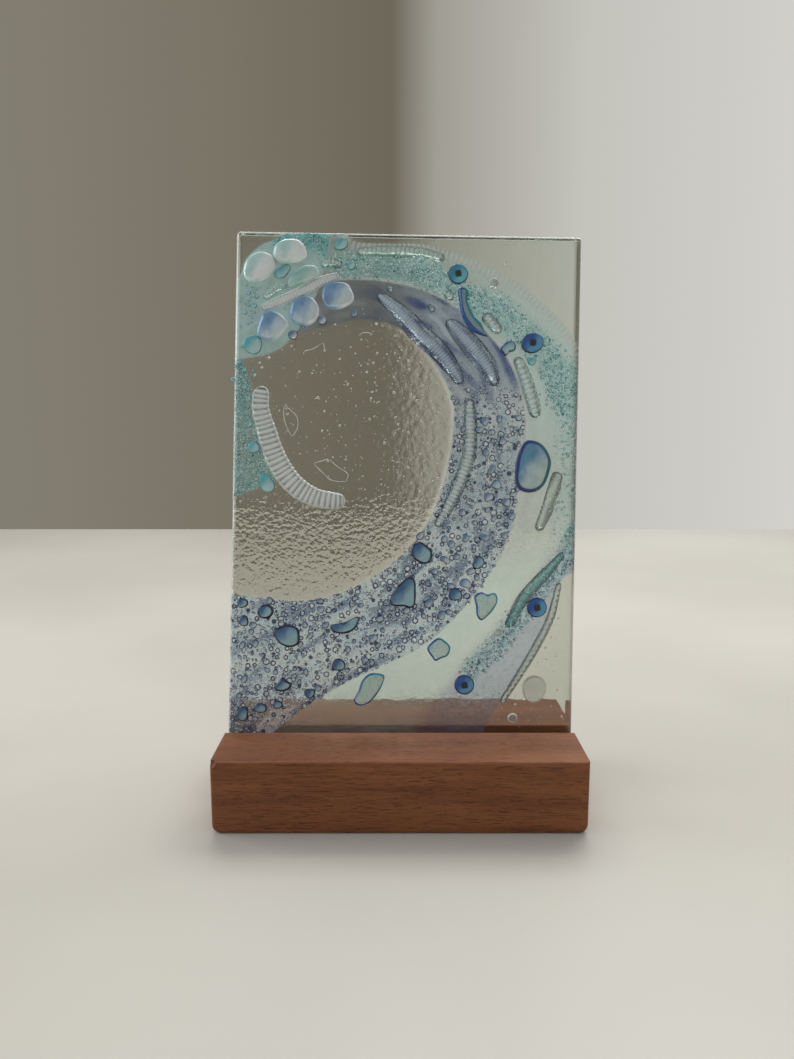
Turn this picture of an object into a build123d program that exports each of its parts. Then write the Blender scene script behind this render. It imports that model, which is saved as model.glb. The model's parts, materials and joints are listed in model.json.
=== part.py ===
from build123d import *
from math import atan2, cos, degrees, radians, sin, sqrt, tan
import os

# A curling wave in fused glass, standing in a slotted hardwood block.
# Millimetres, +Z up, origin at the centre of the block's underside, front towards -Y.

os.makedirs("parts", exist_ok=True)

# Hardwood block
stand_width = 101.0
stand_depth = 49.0
stand_height = 20.2
stand_bottom_round = 2.4  # worn lower corners, seen from the front
stand_top_round = 1.1
stand_side_round = 0.8
slot_setback = 20.2  # from the block's front face to the front lip of the slot
slot_lip_round = 0.45
chip_size = 1.7  # bruised top corner, front left

# Slot and panel fit
lean_back = 8.3  # degrees from upright
panel_in_slot = 8.5  # length of glass below the lip
slot_clearance = 0.3  # each side of the glass
foot_gap = 0.05

# Glass blank: a base sheet under a front layer of cut pieces
panel_width = 100.0
panel_rise = 144.6  # glass above the lip, measured up the glass
panel_top_tilt = 1.8  # how much higher the left top corner is than the right one
left_edge_lean = 1.02  # degrees, both edges lean to the right
right_edge_lean = 1.155
base_thickness = 3.0
front_thickness = 3.0
barrel_drop = 0.5  # the glass inside the curl lies this much lower
edge_round = 1.3
corner_round = 1.2
seam = 0.12  # between neighbouring pieces of the front layer

# Strips on the face of the glass
strip_height = 0.5
rib_height = 0.5
rib_pitch = 2.3
rib_share = 0.8  # of the pitch that a rib takes up
rib_margin = 0.25  # flat border beside the ribs
crest_rib_width = 2.8
crest_frost_width = 2.0
hem_rib_width = 3.4
divider_width = 3.0
divider_lower_width = 3.4
ridge_left_width = 3.6
ridge_right_width = 4.4
inner_rib_width = 3.4
shoulder_rod_width = 3.6
lower_rib_width = 2.0
teal_streak_width = 2.6
foam_height = 0.6  # the sheet of the foam tail, under its ribs
foam_rib_reach = 3.0  # each side of the tail's middle line

# Nuggets, drops, beads and frit on the face of the glass
nugget_size = 9.5
nugget_height = 2.6
nugget_ease = 1.9  # how far a nugget's flank leans in over its height
tip_share = 0.8  # the most that a flank may lean in, of the radius at an oval's tip
pebble_shares = [(0.65, 0.25), (0.35, 0.75)]  # steps of the height and of the lean
drop_size = 8.7
drop_height = 0.9
drop_ease = 0.6
long_drop_height = 1.2
long_drop_ease = 0.8
keyhole_size = 2.6
keyhole_foot = 3.6
keyhole_length = 4.4
keyhole_turn = -48  # degrees, from a foot that points straight down the glass
eye_size = 6.0
eye_height = 0.9
eye_ease = 0.4
eye_core_size = 2.0
eye_core_height = 0.4
bead_size = 2.6
bead_height = 0.7
dot_gap = 0.4  # from a blue nugget to the royal dot beside it
frit_size = 1.6
frit_height = 0.6
frit_pitch = 2.4
frit_sway = 1.0  # how far every other grain stands beside the row's line
bead_sides = 8
frit_sides = 6
low_taper = 25  # degrees, flanks of beads and frit

overrun = 3.0  # how far a cut passes the surface that it opens

# The leaning panel: its directions, and the planes of its layers
across_glass = Vector(1, 0, 0)
up_glass = Vector(0, sin(radians(lean_back)), cos(radians(lean_back)))
out_of_glass = Vector(0, -cos(radians(lean_back)), sin(radians(lean_back)))
panel_thickness = base_thickness + front_thickness
slot_lip = Vector(0, slot_setback - stand_depth / 2, stand_height)
face_plane = Plane(
    origin=slot_lip - out_of_glass * slot_clearance,
    x_dir=across_glass,
    z_dir=out_of_glass,
)
barrel_plane = face_plane.offset(-barrel_drop)
lay_plane = face_plane.offset(-front_thickness)
back_plane = face_plane.offset(-panel_thickness)
mouth_plane = Plane(
    origin=slot_lip - out_of_glass * (panel_thickness / 2 + slot_clearance),
    x_dir=across_glass,
    z_dir=up_glass,
)


def place(share):
    """Point on the panel from its shares of the panel's width and rise."""
    return Vector(share[0] * panel_width, share[1] * panel_rise)


def left_edge(height):
    return (height * tan(radians(left_edge_lean)) - panel_width / 2, height)


def right_edge(height):
    return (height * tan(radians(right_edge_lean)) + panel_width / 2, height)


def flowing_line(points):
    """Adds tangent arcs through the points, two for each step, to the open line."""
    chords = [end - start for start, end in zip(points, points[1:])]
    headings = []
    for chord, following in zip(chords, chords[1:]):
        near = chord.normalized() * following.length
        far = following.normalized() * chord.length
        headings.append((near + far).normalized())
    first = chords[0].normalized()
    last = chords[-1].normalized()
    headings.insert(0, first * (2 * first.dot(headings[0])) - headings[0])
    headings.append(last * (2 * last.dot(headings[-1])) - headings[-1])
    for step, chord in enumerate(chords):
        leave, arrive = headings[step], headings[step + 1]
        both = leave + arrive
        bend = 2 - 2 * leave.dot(arrive)
        reach = sqrt(chord.dot(both) ** 2 + bend * chord.dot(chord)) - chord.dot(both)
        middle = (points[step] + points[step + 1] + (leave - arrive) * (reach / bend)) / 2
        arc = TangentArc(points[step], middle, tangent=leave)
        TangentArc(middle, points[step + 1], tangent=arc % 1)


def lobe(line_shares, corner_shares, grow):
    """Face on one side of a cut line, closed round corners that lie off the glass."""
    points = [place(share) for share in line_shares]
    corners = [place(share) for share in corner_shares]
    with BuildSketch() as face:
        with BuildLine():
            flowing_line(points)
            Polyline(points[-1], *corners, points[0])
        make_face()
        offset(amount=grow)
    return face.sketch


def beside_cut(cut_shares, side):
    """Face beside a straight cut: above it for a side of 1, and below it for -1."""
    start, end = place(cut_shares[0]), place(cut_shares[1])
    along = (end - start).normalized()
    beside = Vector(-along.Y, along.X) * side
    near, far = beside * (seam / 2), beside * (2 * panel_rise)
    start, end = start - along * panel_rise, end + along * panel_rise
    with BuildSketch() as face:
        with BuildLine():
            Polyline(start + near, end + near, end + far, start + far, close=True)
        make_face()
    return face.sketch


def keep(piece, name):
    """Names a finished sub-part and writes its STEP file."""
    piece.part.label = name
    export_step(piece.part, f"parts/{name}.step")


# Block with its leaning slot and one bruised corner
with BuildPart() as wood_stand:
    with BuildSketch(Plane.XZ.offset(-stand_depth / 2)):
        with Locations((0, stand_height / 2)):
            block = Rectangle(stand_width, stand_height)
        fillet(block.vertices().group_by(Axis.Y)[0], radius=stand_bottom_round)
        fillet(block.vertices().group_by(Axis.Y)[-1], radius=stand_top_round)
    extrude(amount=stand_depth)
    fillet(wood_stand.faces().filter_by(Axis.Y).edges(), radius=stand_side_round)
    with BuildSketch(mouth_plane):
        Rectangle(stand_width + 2 * overrun, panel_thickness + 2 * slot_clearance)
    extrude(amount=overrun, mode=Mode.SUBTRACT)
    with BuildSketch(mouth_plane):
        Rectangle(stand_width + 2 * overrun, panel_thickness + 2 * slot_clearance)
    extrude(amount=-panel_in_slot - foot_gap, mode=Mode.SUBTRACT)
    lips = wood_stand.edges().filter_by(Axis.X).group_by(Axis.Z)[-1]
    fillet(lips.sort_by(Axis.Y)[1:-1], radius=slot_lip_round)
    with Locations((-stand_width / 2, -stand_depth / 2, stand_height)):
        Sphere(chip_size, mode=Mode.SUBTRACT)
keep(wood_stand, "wood_stand")

# Outline of the glass, a little out of square
with BuildSketch() as panel_outline:
    with BuildLine():
        Polyline(
            left_edge(-panel_in_slot),
            right_edge(-panel_in_slot),
            right_edge(panel_rise - panel_top_tilt / 2),
            left_edge(panel_rise + panel_top_tilt / 2),
            close=True,
        )
    make_face()
    fillet(panel_outline.vertices(), radius=corner_round)

with BuildPart() as base_sheet:
    with BuildSketch(back_plane):
        add(panel_outline.sketch)
    extrude(amount=base_thickness)
    back_face = base_sheet.faces().filter_by(back_plane).sort_by(Axis.Y)[-1]
    fillet(back_face.edges(), radius=edge_round)
keep(base_sheet, "base_sheet")

# Front layer before it is cut, at its full height and at the barrel's
with BuildPart() as front_blank:
    with BuildSketch(lay_plane):
        add(panel_outline.sketch)
    extrude(amount=front_thickness)
    front_face = front_blank.faces().filter_by(face_plane).sort_by(Axis.Y)[0]
    fillet(front_face.edges(), radius=edge_round)
with BuildPart() as barrel_blank:
    with BuildSketch(lay_plane):
        add(panel_outline.sketch)
    extrude(amount=front_thickness - barrel_drop)
    front_face = barrel_blank.faces().filter_by(face_plane).sort_by(Axis.Y)[0]
    fillet(front_face.edges(), radius=edge_round)

# Cut lines of the wave, as shares of the panel's width and rise
teal_line_shares = [
    (-0.180, 1.040),
    (-0.140, 0.987),
    (-0.040, 0.979),
    (0.075, 0.976),
    (0.228, 0.941),
    (0.346, 0.895),
    (0.448, 0.837),
    (0.516, 0.776),
    (0.580, 0.700),
]
blue_line_shares = [
    (-0.400, 0.816),
    (-0.270, 0.885),
    (-0.149, 0.906),
    (0.035, 0.891),
    (0.161, 0.850),
    (0.294, 0.766),
    (0.355, 0.671),
    (0.360, 0.581),
    (0.340, 0.484),
    (0.316, 0.389),
    (0.224, 0.281),
    (0.073, 0.176),
    (-0.149, 0.102),
    (-0.330, 0.021),
    (-0.480, -0.080),
]
barrel_line_shares = [
    (-0.580, 0.287),
    (-0.311, 0.263),
    (-0.149, 0.286),
    (-0.001, 0.351),
    (0.106, 0.453),
    (0.156, 0.607),
    (0.132, 0.701),
    (0.025, 0.799),
    (-0.100, 0.826),
    (-0.223, 0.811),
    (-0.340, 0.788),
    (-0.460, 0.775),
]
crest_line_shares = [
    (-0.190, 1.040),
    (-0.210, 0.954),
    (-0.240, 0.878),
    (-0.290, 0.809),
    (-0.380, 0.757),
    (-0.580, 0.740),
]
hem_line_shares = [
    (-0.560, 0.830),
    (-0.468, 0.911),
    (-0.447, 0.947),
    (-0.402, 0.976),
    (-0.357, 0.989),
    (-0.300, 1.010),
    (-0.220, 1.051),
]
margin_line_shares = [
    (-0.460, 0.754),
    (-0.410, 0.650),
    (-0.380, 0.560),
    (-0.340, 0.508),
    (-0.580, 0.443),
]
pale_line_shares = [
    (0.580, 0.415),
    (0.470, 0.377),
    (0.380, 0.304),
    (0.295, 0.228),
    (0.180, 0.138),
    (0.060, 0.028),
    (-0.020, -0.083),
]
mist_line_shares = [
    (0.580, 0.346),
    (0.470, 0.304),
    (0.428, 0.214),
    (0.360, 0.128),
    (0.298, 0.066),
    (0.240, 0.000),
    (0.180, -0.083),
]

# Straight cuts across the bands
teal_cut_shares = [(0.250, 0.610), (0.600, 0.640)]
shoulder_cut_shares = [(0.250, 0.465), (0.520, 0.300)]
blue_cut_shares = [(0.050, 0.650), (0.450, 0.690)]

# Corners that close the cut lines outside the glass
lower_left_share = (-0.60, -0.20)
upper_left_share = (-0.60, 1.10)
lower_right_share = (0.70, -0.20)
beside_crest_share = (-0.60, 0.816)
beside_barrel_share = (-0.58, 0.775)
beside_margin_share = (-0.58, 0.754)
shrink, grow = -seam / 2, seam / 2


def under_teal_line(growth):
    return lobe(teal_line_shares, [lower_right_share, lower_left_share, upper_left_share], growth)


def under_blue_line(growth):
    return lobe(blue_line_shares, [lower_left_share, beside_crest_share], growth)


def inside_barrel(growth):
    return lobe(barrel_line_shares, [beside_barrel_share], growth)


def inside_crest(growth):
    return lobe(crest_line_shares, [upper_left_share], growth)


def beyond_hem(growth):
    return lobe(hem_line_shares, [upper_left_share], growth)


def inside_margin(growth):
    return lobe(margin_line_shares, [beside_margin_share], growth)


def beyond_pale_line(growth):
    return lobe(pale_line_shares, [lower_right_share], growth)


def beyond_mist_line(growth):
    return lobe(mist_line_shares, [lower_right_share], growth)


def cut_from(blank, region):
    """Adds the blank to the open part, cut down to a region of the panel."""
    add(blank.part)
    with BuildSketch(lay_plane) as cutter:
        add(region)
    extrude(cutter.sketch, amount=panel_thickness, both=True, mode=Mode.INTERSECT)


# Plain corners
with BuildPart() as corner_sheet_left:
    cut_from(front_blank, beyond_hem(shrink))
keep(corner_sheet_left, "corner_sheet_left")

with BuildSketch() as sky_region:
    Rectangle(4 * panel_width, 4 * panel_rise)
    add(under_teal_line(grow), mode=Mode.SUBTRACT)
    add(inside_crest(grow), mode=Mode.SUBTRACT)
with BuildPart() as sky_sheet:
    cut_from(front_blank, sky_region.sketch)
keep(sky_sheet, "sky_sheet")

with BuildPart() as corner_sheet_right:
    cut_from(front_blank, beyond_mist_line(shrink))
keep(corner_sheet_right, "corner_sheet_right")

# Crest, and the bands outside the blue one
with BuildSketch() as crest_region:
    add(inside_crest(shrink))
    add(beyond_hem(grow), mode=Mode.SUBTRACT)
with BuildPart() as crest_sheet:
    cut_from(front_blank, crest_region.sketch)
keep(crest_sheet, "crest_sheet")

with BuildSketch() as outer_region:
    add(under_teal_line(shrink))
    add(under_blue_line(grow), mode=Mode.SUBTRACT)
    add(inside_crest(grow), mode=Mode.SUBTRACT)
    add(beyond_pale_line(grow), mode=Mode.SUBTRACT)

with BuildSketch() as teal_region:
    add(outer_region.sketch)
    add(beside_cut(teal_cut_shares, 1), mode=Mode.INTERSECT)
with BuildPart() as teal_band:
    cut_from(front_blank, teal_region.sketch)
keep(teal_band, "teal_band")

with BuildSketch() as shoulder_region:
    add(outer_region.sketch)
    add(beside_cut(teal_cut_shares, -1), mode=Mode.INTERSECT)
    add(beside_cut(shoulder_cut_shares, 1), mode=Mode.INTERSECT)
with BuildPart() as shoulder_band:
    cut_from(front_blank, shoulder_region.sketch)
keep(shoulder_band, "shoulder_band")

with BuildSketch() as pale_region:
    add(outer_region.sketch)
    add(beside_cut(shoulder_cut_shares, -1), mode=Mode.INTERSECT)
with BuildPart() as pale_band:
    cut_from(front_blank, pale_region.sketch)
keep(pale_band, "pale_band")

with BuildSketch() as mist_region:
    add(beyond_pale_line(shrink))
    add(beyond_mist_line(grow), mode=Mode.SUBTRACT)
with BuildPart() as mist_band:
    cut_from(front_blank, mist_region.sketch)
keep(mist_band, "mist_band")

# Blue band and the clear glass inside the curl
with BuildSketch() as blue_region:
    add(under_blue_line(shrink))
    add(inside_barrel(grow), mode=Mode.SUBTRACT)
    add(inside_crest(grow), mode=Mode.SUBTRACT)
    add(inside_margin(grow), mode=Mode.SUBTRACT)

with BuildSketch() as blue_crest_region:
    add(blue_region.sketch)
    add(beside_cut(blue_cut_shares, 1), mode=Mode.INTERSECT)
with BuildPart() as blue_band:
    cut_from(front_blank, blue_crest_region.sketch)
keep(blue_band, "blue_band")

with BuildSketch() as blue_field_region:
    add(blue_region.sketch)
    add(beside_cut(blue_cut_shares, -1), mode=Mode.INTERSECT)
with BuildPart() as blue_field:
    cut_from(front_blank, blue_field_region.sketch)
keep(blue_field, "blue_field")

with BuildSketch() as margin_region:
    add(inside_margin(shrink))
    add(inside_crest(grow), mode=Mode.SUBTRACT)
with BuildPart() as margin_sheet:
    cut_from(front_blank, margin_region.sketch)
keep(margin_sheet, "margin_sheet")

with BuildSketch() as barrel_region:
    add(inside_barrel(shrink))
    add(inside_crest(grow), mode=Mode.SUBTRACT)
    add(inside_margin(grow), mode=Mode.SUBTRACT)
with BuildPart() as barrel_sheet:
    cut_from(barrel_blank, barrel_region.sketch)
keep(barrel_sheet, "barrel_sheet")

# Strips laid along the wave: their middle lines, as shares of the panel's width and rise
crest_rib_left_shares = [(-0.394, 0.869), (-0.356, 0.887), (-0.328, 0.896)]
crest_rib_right_shares = [(-0.230, 0.934), (-0.200, 0.941), (-0.167, 0.935)]
crest_frost_shares = [
    (-0.402, 0.848),
    (-0.346, 0.864),
    (-0.282, 0.883),
    (-0.229, 0.902),
    (-0.176, 0.914),
]
hem_rib_shares = [(-0.125, 0.962), (-0.040, 0.963), (0.060, 0.960), (0.130, 0.948)]
divider_top_shares = [(0.130, 0.879), (0.144, 0.874), (0.156, 0.868)]
divider_middle_shares = [(0.243, 0.838), (0.267, 0.820), (0.291, 0.800)]
divider_lower_shares = [
    (0.337, 0.751),
    (0.353, 0.728),
    (0.368, 0.700),
    (0.383, 0.666),
    (0.396, 0.630),
]
ridge_left_shares = [
    (-0.064, 0.878),
    (0.005, 0.838),
    (0.060, 0.797),
    (0.110, 0.766),
    (0.150, 0.731),
    (0.180, 0.698),
]
ridge_right_shares = [
    (0.136, 0.825),
    (0.177, 0.797),
    (0.217, 0.766),
    (0.255, 0.731),
    (0.278, 0.694),
]
inner_rib_shares = [
    (0.202, 0.668),
    (0.204, 0.607),
    (0.198, 0.550),
    (0.174, 0.501),
    (0.142, 0.454),
    (0.106, 0.412),
]
shoulder_rod_shares = [(0.459, 0.522), (0.446, 0.488), (0.423, 0.440), (0.399, 0.404)]
lower_rib_shares = [
    (0.462, 0.300),
    (0.436, 0.228),
    (0.390, 0.165),
    (0.341, 0.109),
    (0.294, 0.059),
]
teal_streak_shares = [
    (0.474, 0.359),
    (0.435, 0.327),
    (0.390, 0.294),
    (0.350, 0.260),
    (0.312, 0.210),
]
foam_middle_shares = [
    (-0.399, 0.694),
    (-0.404, 0.650),
    (-0.384, 0.599),
    (-0.357, 0.546),
    (-0.311, 0.499),
    (-0.252, 0.472),
    (-0.197, 0.464),
]

# Edge of the foam tail, from its upper outer corner round the tip to its upper inner corner
foam_edge_shares = [
    (-0.424, 0.698),
    (-0.429, 0.650),
    (-0.409, 0.596),
    (-0.381, 0.533),
    (-0.333, 0.477),
    (-0.280, 0.451),
    (-0.223, 0.443),
    (-0.170, 0.441),
    (-0.148, 0.463),
    (-0.171, 0.485),
    (-0.223, 0.493),
    (-0.289, 0.520),
    (-0.333, 0.558),
    (-0.360, 0.602),
    (-0.378, 0.650),
    (-0.374, 0.698),
]


def ribs_across(route, width, seat_height):
    """Adds a half-round rib across the route at each pitch, on a seat of the given height."""
    path = Wire(route.edges())
    count = int(path.length / rib_pitch)
    half = path.length / count * rib_share / 2
    for rib in range(count):
        share = (rib + 0.5) / count
        foot = face_plane.from_local_coords(path @ share)
        along = face_plane.from_local_coords(path @ share + path % share) - foot
        across = Plane(origin=foot, x_dir=along, z_dir=along.cross(out_of_glass))
        with BuildSketch(across) as profile:
            with BuildLine():
                Polyline((half, seat_height), (half, 0), (-half, 0), (-half, seat_height))
                ThreePointArc((-half, seat_height), (0, seat_height + rib_height), (half, seat_height))
            make_face()
        extrude(profile.sketch, amount=width / 2 - rib_margin, both=True)


def laid_strip(route_shares, width, ribbed=True):
    """Thin strip along a route, ribbed or smooth."""
    with BuildPart() as strip:
        with BuildSketch(face_plane):
            with BuildLine() as route:
                flowing_line([place(share) for share in route_shares])
            trace(line_width=width)
        extrude(amount=strip_height)
        if ribbed:
            ribs_across(route, width, strip_height)
    return strip


for name, strip in {
    "crest_rib_left": laid_strip(crest_rib_left_shares, crest_rib_width),
    "crest_rib_right": laid_strip(crest_rib_right_shares, crest_rib_width),
    "crest_frost_strip": laid_strip(crest_frost_shares, crest_frost_width, ribbed=False),
    "hem_rib_strip": laid_strip(hem_rib_shares, hem_rib_width),
    "divider_rib_top": laid_strip(divider_top_shares, divider_width),
    "divider_rib_middle": laid_strip(divider_middle_shares, divider_width),
    "divider_rib_lower": laid_strip(divider_lower_shares, divider_lower_width),
    "ridge_rod_left": laid_strip(ridge_left_shares, ridge_left_width),
    "ridge_rod_right": laid_strip(ridge_right_shares, ridge_right_width),
    "inner_rib_rod": laid_strip(inner_rib_shares, inner_rib_width),
    "shoulder_rod": laid_strip(shoulder_rod_shares, shoulder_rod_width, ribbed=False),
    "lower_rib_strip": laid_strip(lower_rib_shares, lower_rib_width),
    "teal_streak": laid_strip(teal_streak_shares, teal_streak_width, ribbed=False),
}.items():
    keep(strip, name)


# Foam tail of the wave, which steps down from the margin to the lower glass of the barrel
with BuildSketch() as foam_outline:
    with BuildLine():
        foam_edge = [place(share) for share in foam_edge_shares]
        flowing_line(foam_edge)
        Line(foam_edge[-1], foam_edge[0])
    make_face()
with BuildPart() as foam_tail:
    with BuildSketch(face_plane):
        add(foam_outline.sketch)
    extrude(amount=foam_height)
    with BuildSketch(barrel_plane):
        add(foam_outline.sketch)
        add(barrel_region.sketch, mode=Mode.INTERSECT)
    extrude(amount=barrel_drop)
    with BuildLine(mode=Mode.PRIVATE) as foam_middle:
        flowing_line([place(share) for share in foam_middle_shares])
    ribs_across(foam_middle, 2 * foam_rib_reach, foam_height)
keep(foam_tail, "foam_tail")

# Pieces on the face: place as shares of the panel, length and width as shares of the kind's
# size, and the turn in degrees
white_nugget_shares = [(-0.407, 0.928, 0.95, 0.74, 25), (-0.318, 0.962, 0.95, 0.65, 8)]
blue_nugget_shares = [
    (-0.370, 0.811, 0.97, 0.88, -12),
    (-0.276, 0.843, 0.88, 0.88, 0),
    (-0.179, 0.874, 0.97, 0.80, -5),
]
green_nugget_shares = [(-0.280, 0.913, 0.99, 0.42, 24)]
blue_drop_shares = [
    (0.063, 0.358, 0.71, 0.69, -20),
    (0.010, 0.279, 0.94, 0.76, 60),
    (-0.328, 0.192, 0.86, 0.80, 0),
    (-0.158, 0.215, 1.00, 0.56, 20),
    (-0.389, 0.242, 0.56, 0.46, 15),
    (-0.339, 0.094, 0.56, 0.44, -15),
]
teal_drop_shares = [
    (0.113, 0.169, 0.76, 0.69, 30),
    (0.252, 0.246, 0.92, 0.74, 70),
    (-0.088, 0.086, 1.10, 0.76, 48),
]
long_drop_shares = [(0.386, 0.533, 1.79, 1.10, 82)]
tail_drop_shares = [
    (0.176, 0.888),
    (0.172, 0.860),
    (0.186, 0.836),
    (0.228, 0.802),
    (0.254, 0.792),
    (0.240, 0.812),
    (0.207, 0.848),
    (0.202, 0.880),
]
keyhole_shares = (0.316, 0.774)
eye_shares = [
    (0.169, 0.917, 0.97, 0.97, 0),
    (0.384, 0.779, 1.10, 0.97, 20),
    (0.397, 0.250, 0.97, 0.97, 0),
    (0.187, 0.095, 0.97, 0.97, 0),
]
small_blue_drop_shares = [
    (-0.177, 0.135, 1.54, 1.35, 0),
    (-0.456, 0.259, 1.23, 1.12, 0),
    (-0.452, 0.223, 1.23, 1.08, 90),
    (-0.261, 0.078, 1.23, 1.12, 0),
    (-0.457, 0.036, 1.65, 1.35, 80),
    (-0.404, 0.048, 1.46, 1.12, 0),
    (-0.354, 0.055, 1.12, 1.00, 0),
    (0.161, 0.276, 1.54, 1.46, 0),
    (0.228, 0.340, 1.54, 1.23, 60),
]

# Royal dots: the blue nugget that each lies beside, the direction from it in degrees, and the
# shares of the bead's size and of the dot gap
royal_dot_shares = [(0, -20, 1.08, 1.2), (1, -27, 1.04, 0.8), (2, -48, 0.81, 3.4)]
teal_bead_shares = [
    (-0.425, 0.776, 2.10, 2.10, 0),
    (-0.169, 0.977, 1.62, 1.27, 30),
    (-0.386, 0.499, 2.30, 1.54, -62),
    (-0.424, 0.571, 1.38, 1.38, 0),
    (-0.139, 0.934, 0.92, 0.92, 0),
    (-0.336, 0.924, 2.00, 1.00, 15),
    (0.382, 0.743, 0.92, 0.92, 0),
]
clear_bead_shares = [
    (0.390, 0.087, 3.15, 2.69, 80),
    (0.327, 0.028, 1.15, 1.15, 0),
    (0.285, 0.201, 1.00, 1.00, 0),
    (0.272, 0.898, 1.23, 1.23, 0),
]
blue_seed_shares = [
    (0.246, 0.623, 1.04, 0.92, -40),
    (0.298, 0.583, 0.92, 0.85, 60),
    (0.266, 0.526, 1.27, 0.73, 60),
    (0.280, 0.496, 1.12, 1.00, -30),
    (0.257, 0.471, 1.08, 1.00, 0),
    (0.308, 0.461, 1.12, 0.92, -20),
    (0.181, 0.440, 0.85, 0.85, 0),
    (0.324, 0.433, 0.85, 0.85, 0),
    (0.191, 0.389, 0.92, 0.77, 80),
    (0.246, 0.390, 1.23, 0.73, -10),
    (0.303, 0.394, 0.81, 0.81, 0),
    (0.149, 0.376, 0.92, 0.77, -15),
    (0.131, 0.346, 1.27, 0.69, -25),
    (0.101, 0.322, 0.77, 0.69, 0),
    (0.191, 0.298, 1.38, 1.00, -20),
    (0.084, 0.258, 1.15, 0.85, 40),
    (0.121, 0.234, 1.08, 0.85, 60),
    (-0.041, 0.248, 1.00, 0.85, 0),
    (-0.078, 0.188, 1.08, 0.92, 30),
    (-0.229, 0.246, 0.85, 0.77, 0),
]

out_axis = Axis(face_plane.origin, out_of_glass)


def tip_radius(length, width):
    """Radius at the tips of an oval, halfway from an ellipse's to a full round."""
    return (width**2 / length + width) / 4


def oval(length, width):
    """Face of an oval made of four tangent arcs, or a circle where both sizes agree."""
    with BuildSketch() as face:
        if length == width:
            Circle(length / 2)
        else:
            tip = tip_radius(length, width)
            reach = length / 2 - tip
            flank = (reach**2 + (width / 2) ** 2 - tip**2) / (width - 2 * tip)
            sink = flank - width / 2
            turn = degrees(atan2(sink, reach))
            with BuildLine():
                CenterArc((reach, 0), tip, -turn, 2 * turn)
                CenterArc((0, -sink), flank, turn, 180 - 2 * turn)
                CenterArc((-reach, 0), tip, 180 - turn, 2 * turn)
                CenterArc((0, sink), flank, 180 + turn, 180 - 2 * turn)
            make_face()
    return face.sketch


def rounded_pieces(piece_shares, size, height, ease):
    """Group of pebbles on the face, whose flanks lean in more at each step of their height."""
    with BuildPart() as group:
        for across, up, length, width, turn in piece_shares:
            inset = min(ease, tip_share * tip_radius(length * size, width * size))
            with BuildSketch(face_plane):
                with Locations(Location(place((across, up)), (0, 0, turn))):
                    add(oval(length * size, width * size))
            top = None  # the first step rises from the sketch, and the others from the step below
            for rise_share, inset_share in pebble_shares:
                lean = degrees(atan2(inset_share * inset, rise_share * height))
                extrude(top, amount=rise_share * height, taper=lean)
                top = group.faces(Select.LAST).sort_by(out_axis)[-1]
    return group


def sloped_pieces(piece_shares, size, height, ease):
    """Group of low ovals on the face, whose flanks slope in to a smaller oval."""
    with BuildPart() as group:
        with BuildSketch(face_plane):
            for across, up, length, width, turn in piece_shares:
                with Locations(Location(place((across, up)), (0, 0, turn))):
                    add(oval(length * size, width * size))
        extrude(amount=height, taper=degrees(atan2(ease, height)))
    return group


def oval_corners(length, width, sides):
    """Corners of a polygon inside an oval."""
    turns = [radians(360 * corner / sides) for corner in range(sides)]
    return [(length / 2 * cos(turn), width / 2 * sin(turn)) for turn in turns]


def faceted_pieces(piece_shares, size, height, sides):
    """Group of small ovals on the face, made with a few flat flanks."""
    with BuildPart() as group:
        with BuildSketch(face_plane):
            for across, up, length, width, turn in piece_shares:
                with Locations(place((across, up))):
                    Polygon(*oval_corners(length * size, width * size, sides), rotation=turn)
        extrude(amount=height, taper=low_taper)
    return group


# Royal dots, each a named gap from the end of its blue nugget
with BuildPart() as royal_dots:
    with BuildSketch(face_plane):
        for nugget, direction, size_share, gap_share in royal_dot_shares:
            across, up, nugget_length = blue_nugget_shares[nugget][:3]
            reach = (nugget_length * nugget_size + size_share * bead_size) / 2 + gap_share * dot_gap
            away = Vector(cos(radians(direction)), sin(radians(direction))) * reach
            with Locations(place((across, up)) + away):
                RegularPolygon(size_share * bead_size / 2, bead_sides)
    extrude(amount=bead_height, taper=low_taper)
keep(royal_dots, "royal_dots")

for name, group in {
    "white_nuggets": rounded_pieces(white_nugget_shares, nugget_size, nugget_height, nugget_ease),
    "blue_nuggets": rounded_pieces(blue_nugget_shares, nugget_size, nugget_height, nugget_ease),
    "green_nugget": rounded_pieces(green_nugget_shares, nugget_size, nugget_height, nugget_ease),
    "long_drop": rounded_pieces(long_drop_shares, drop_size, long_drop_height, long_drop_ease),
    "blue_drops": sloped_pieces(blue_drop_shares, drop_size, drop_height, drop_ease),
    "teal_drops": sloped_pieces(teal_drop_shares, drop_size, drop_height, drop_ease),
    "eye_dots": sloped_pieces(eye_shares, eye_size, eye_height, eye_ease),
    "small_blue_drops": faceted_pieces(small_blue_drop_shares, bead_size, bead_height, bead_sides),
    "teal_beads": faceted_pieces(teal_bead_shares, bead_size, bead_height, bead_sides),
    "clear_beads": faceted_pieces(clear_bead_shares, bead_size, bead_height, bead_sides),
    "blue_seeds": faceted_pieces(blue_seed_shares, bead_size, bead_height, frit_sides),
}.items():
    keep(group, name)

# Square core on each eye dot
with BuildPart() as eye_cores:
    with BuildSketch(face_plane.offset(eye_height)):
        with Locations([place(eye[:2]) for eye in eye_shares]):
            Rectangle(eye_core_size, eye_core_size)
    extrude(amount=eye_core_height)
keep(eye_cores, "eye_cores")

# Tear-shaped drop with its neck, and the keyhole drop beside it
with BuildPart() as tail_drop:
    with BuildSketch(face_plane):
        with BuildLine():
            tail_edge = [place(share) for share in tail_drop_shares]
            flowing_line(tail_edge)
            Line(tail_edge[-1], tail_edge[0])
        make_face()
    extrude(amount=drop_height)
keep(tail_drop, "tail_drop")

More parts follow.
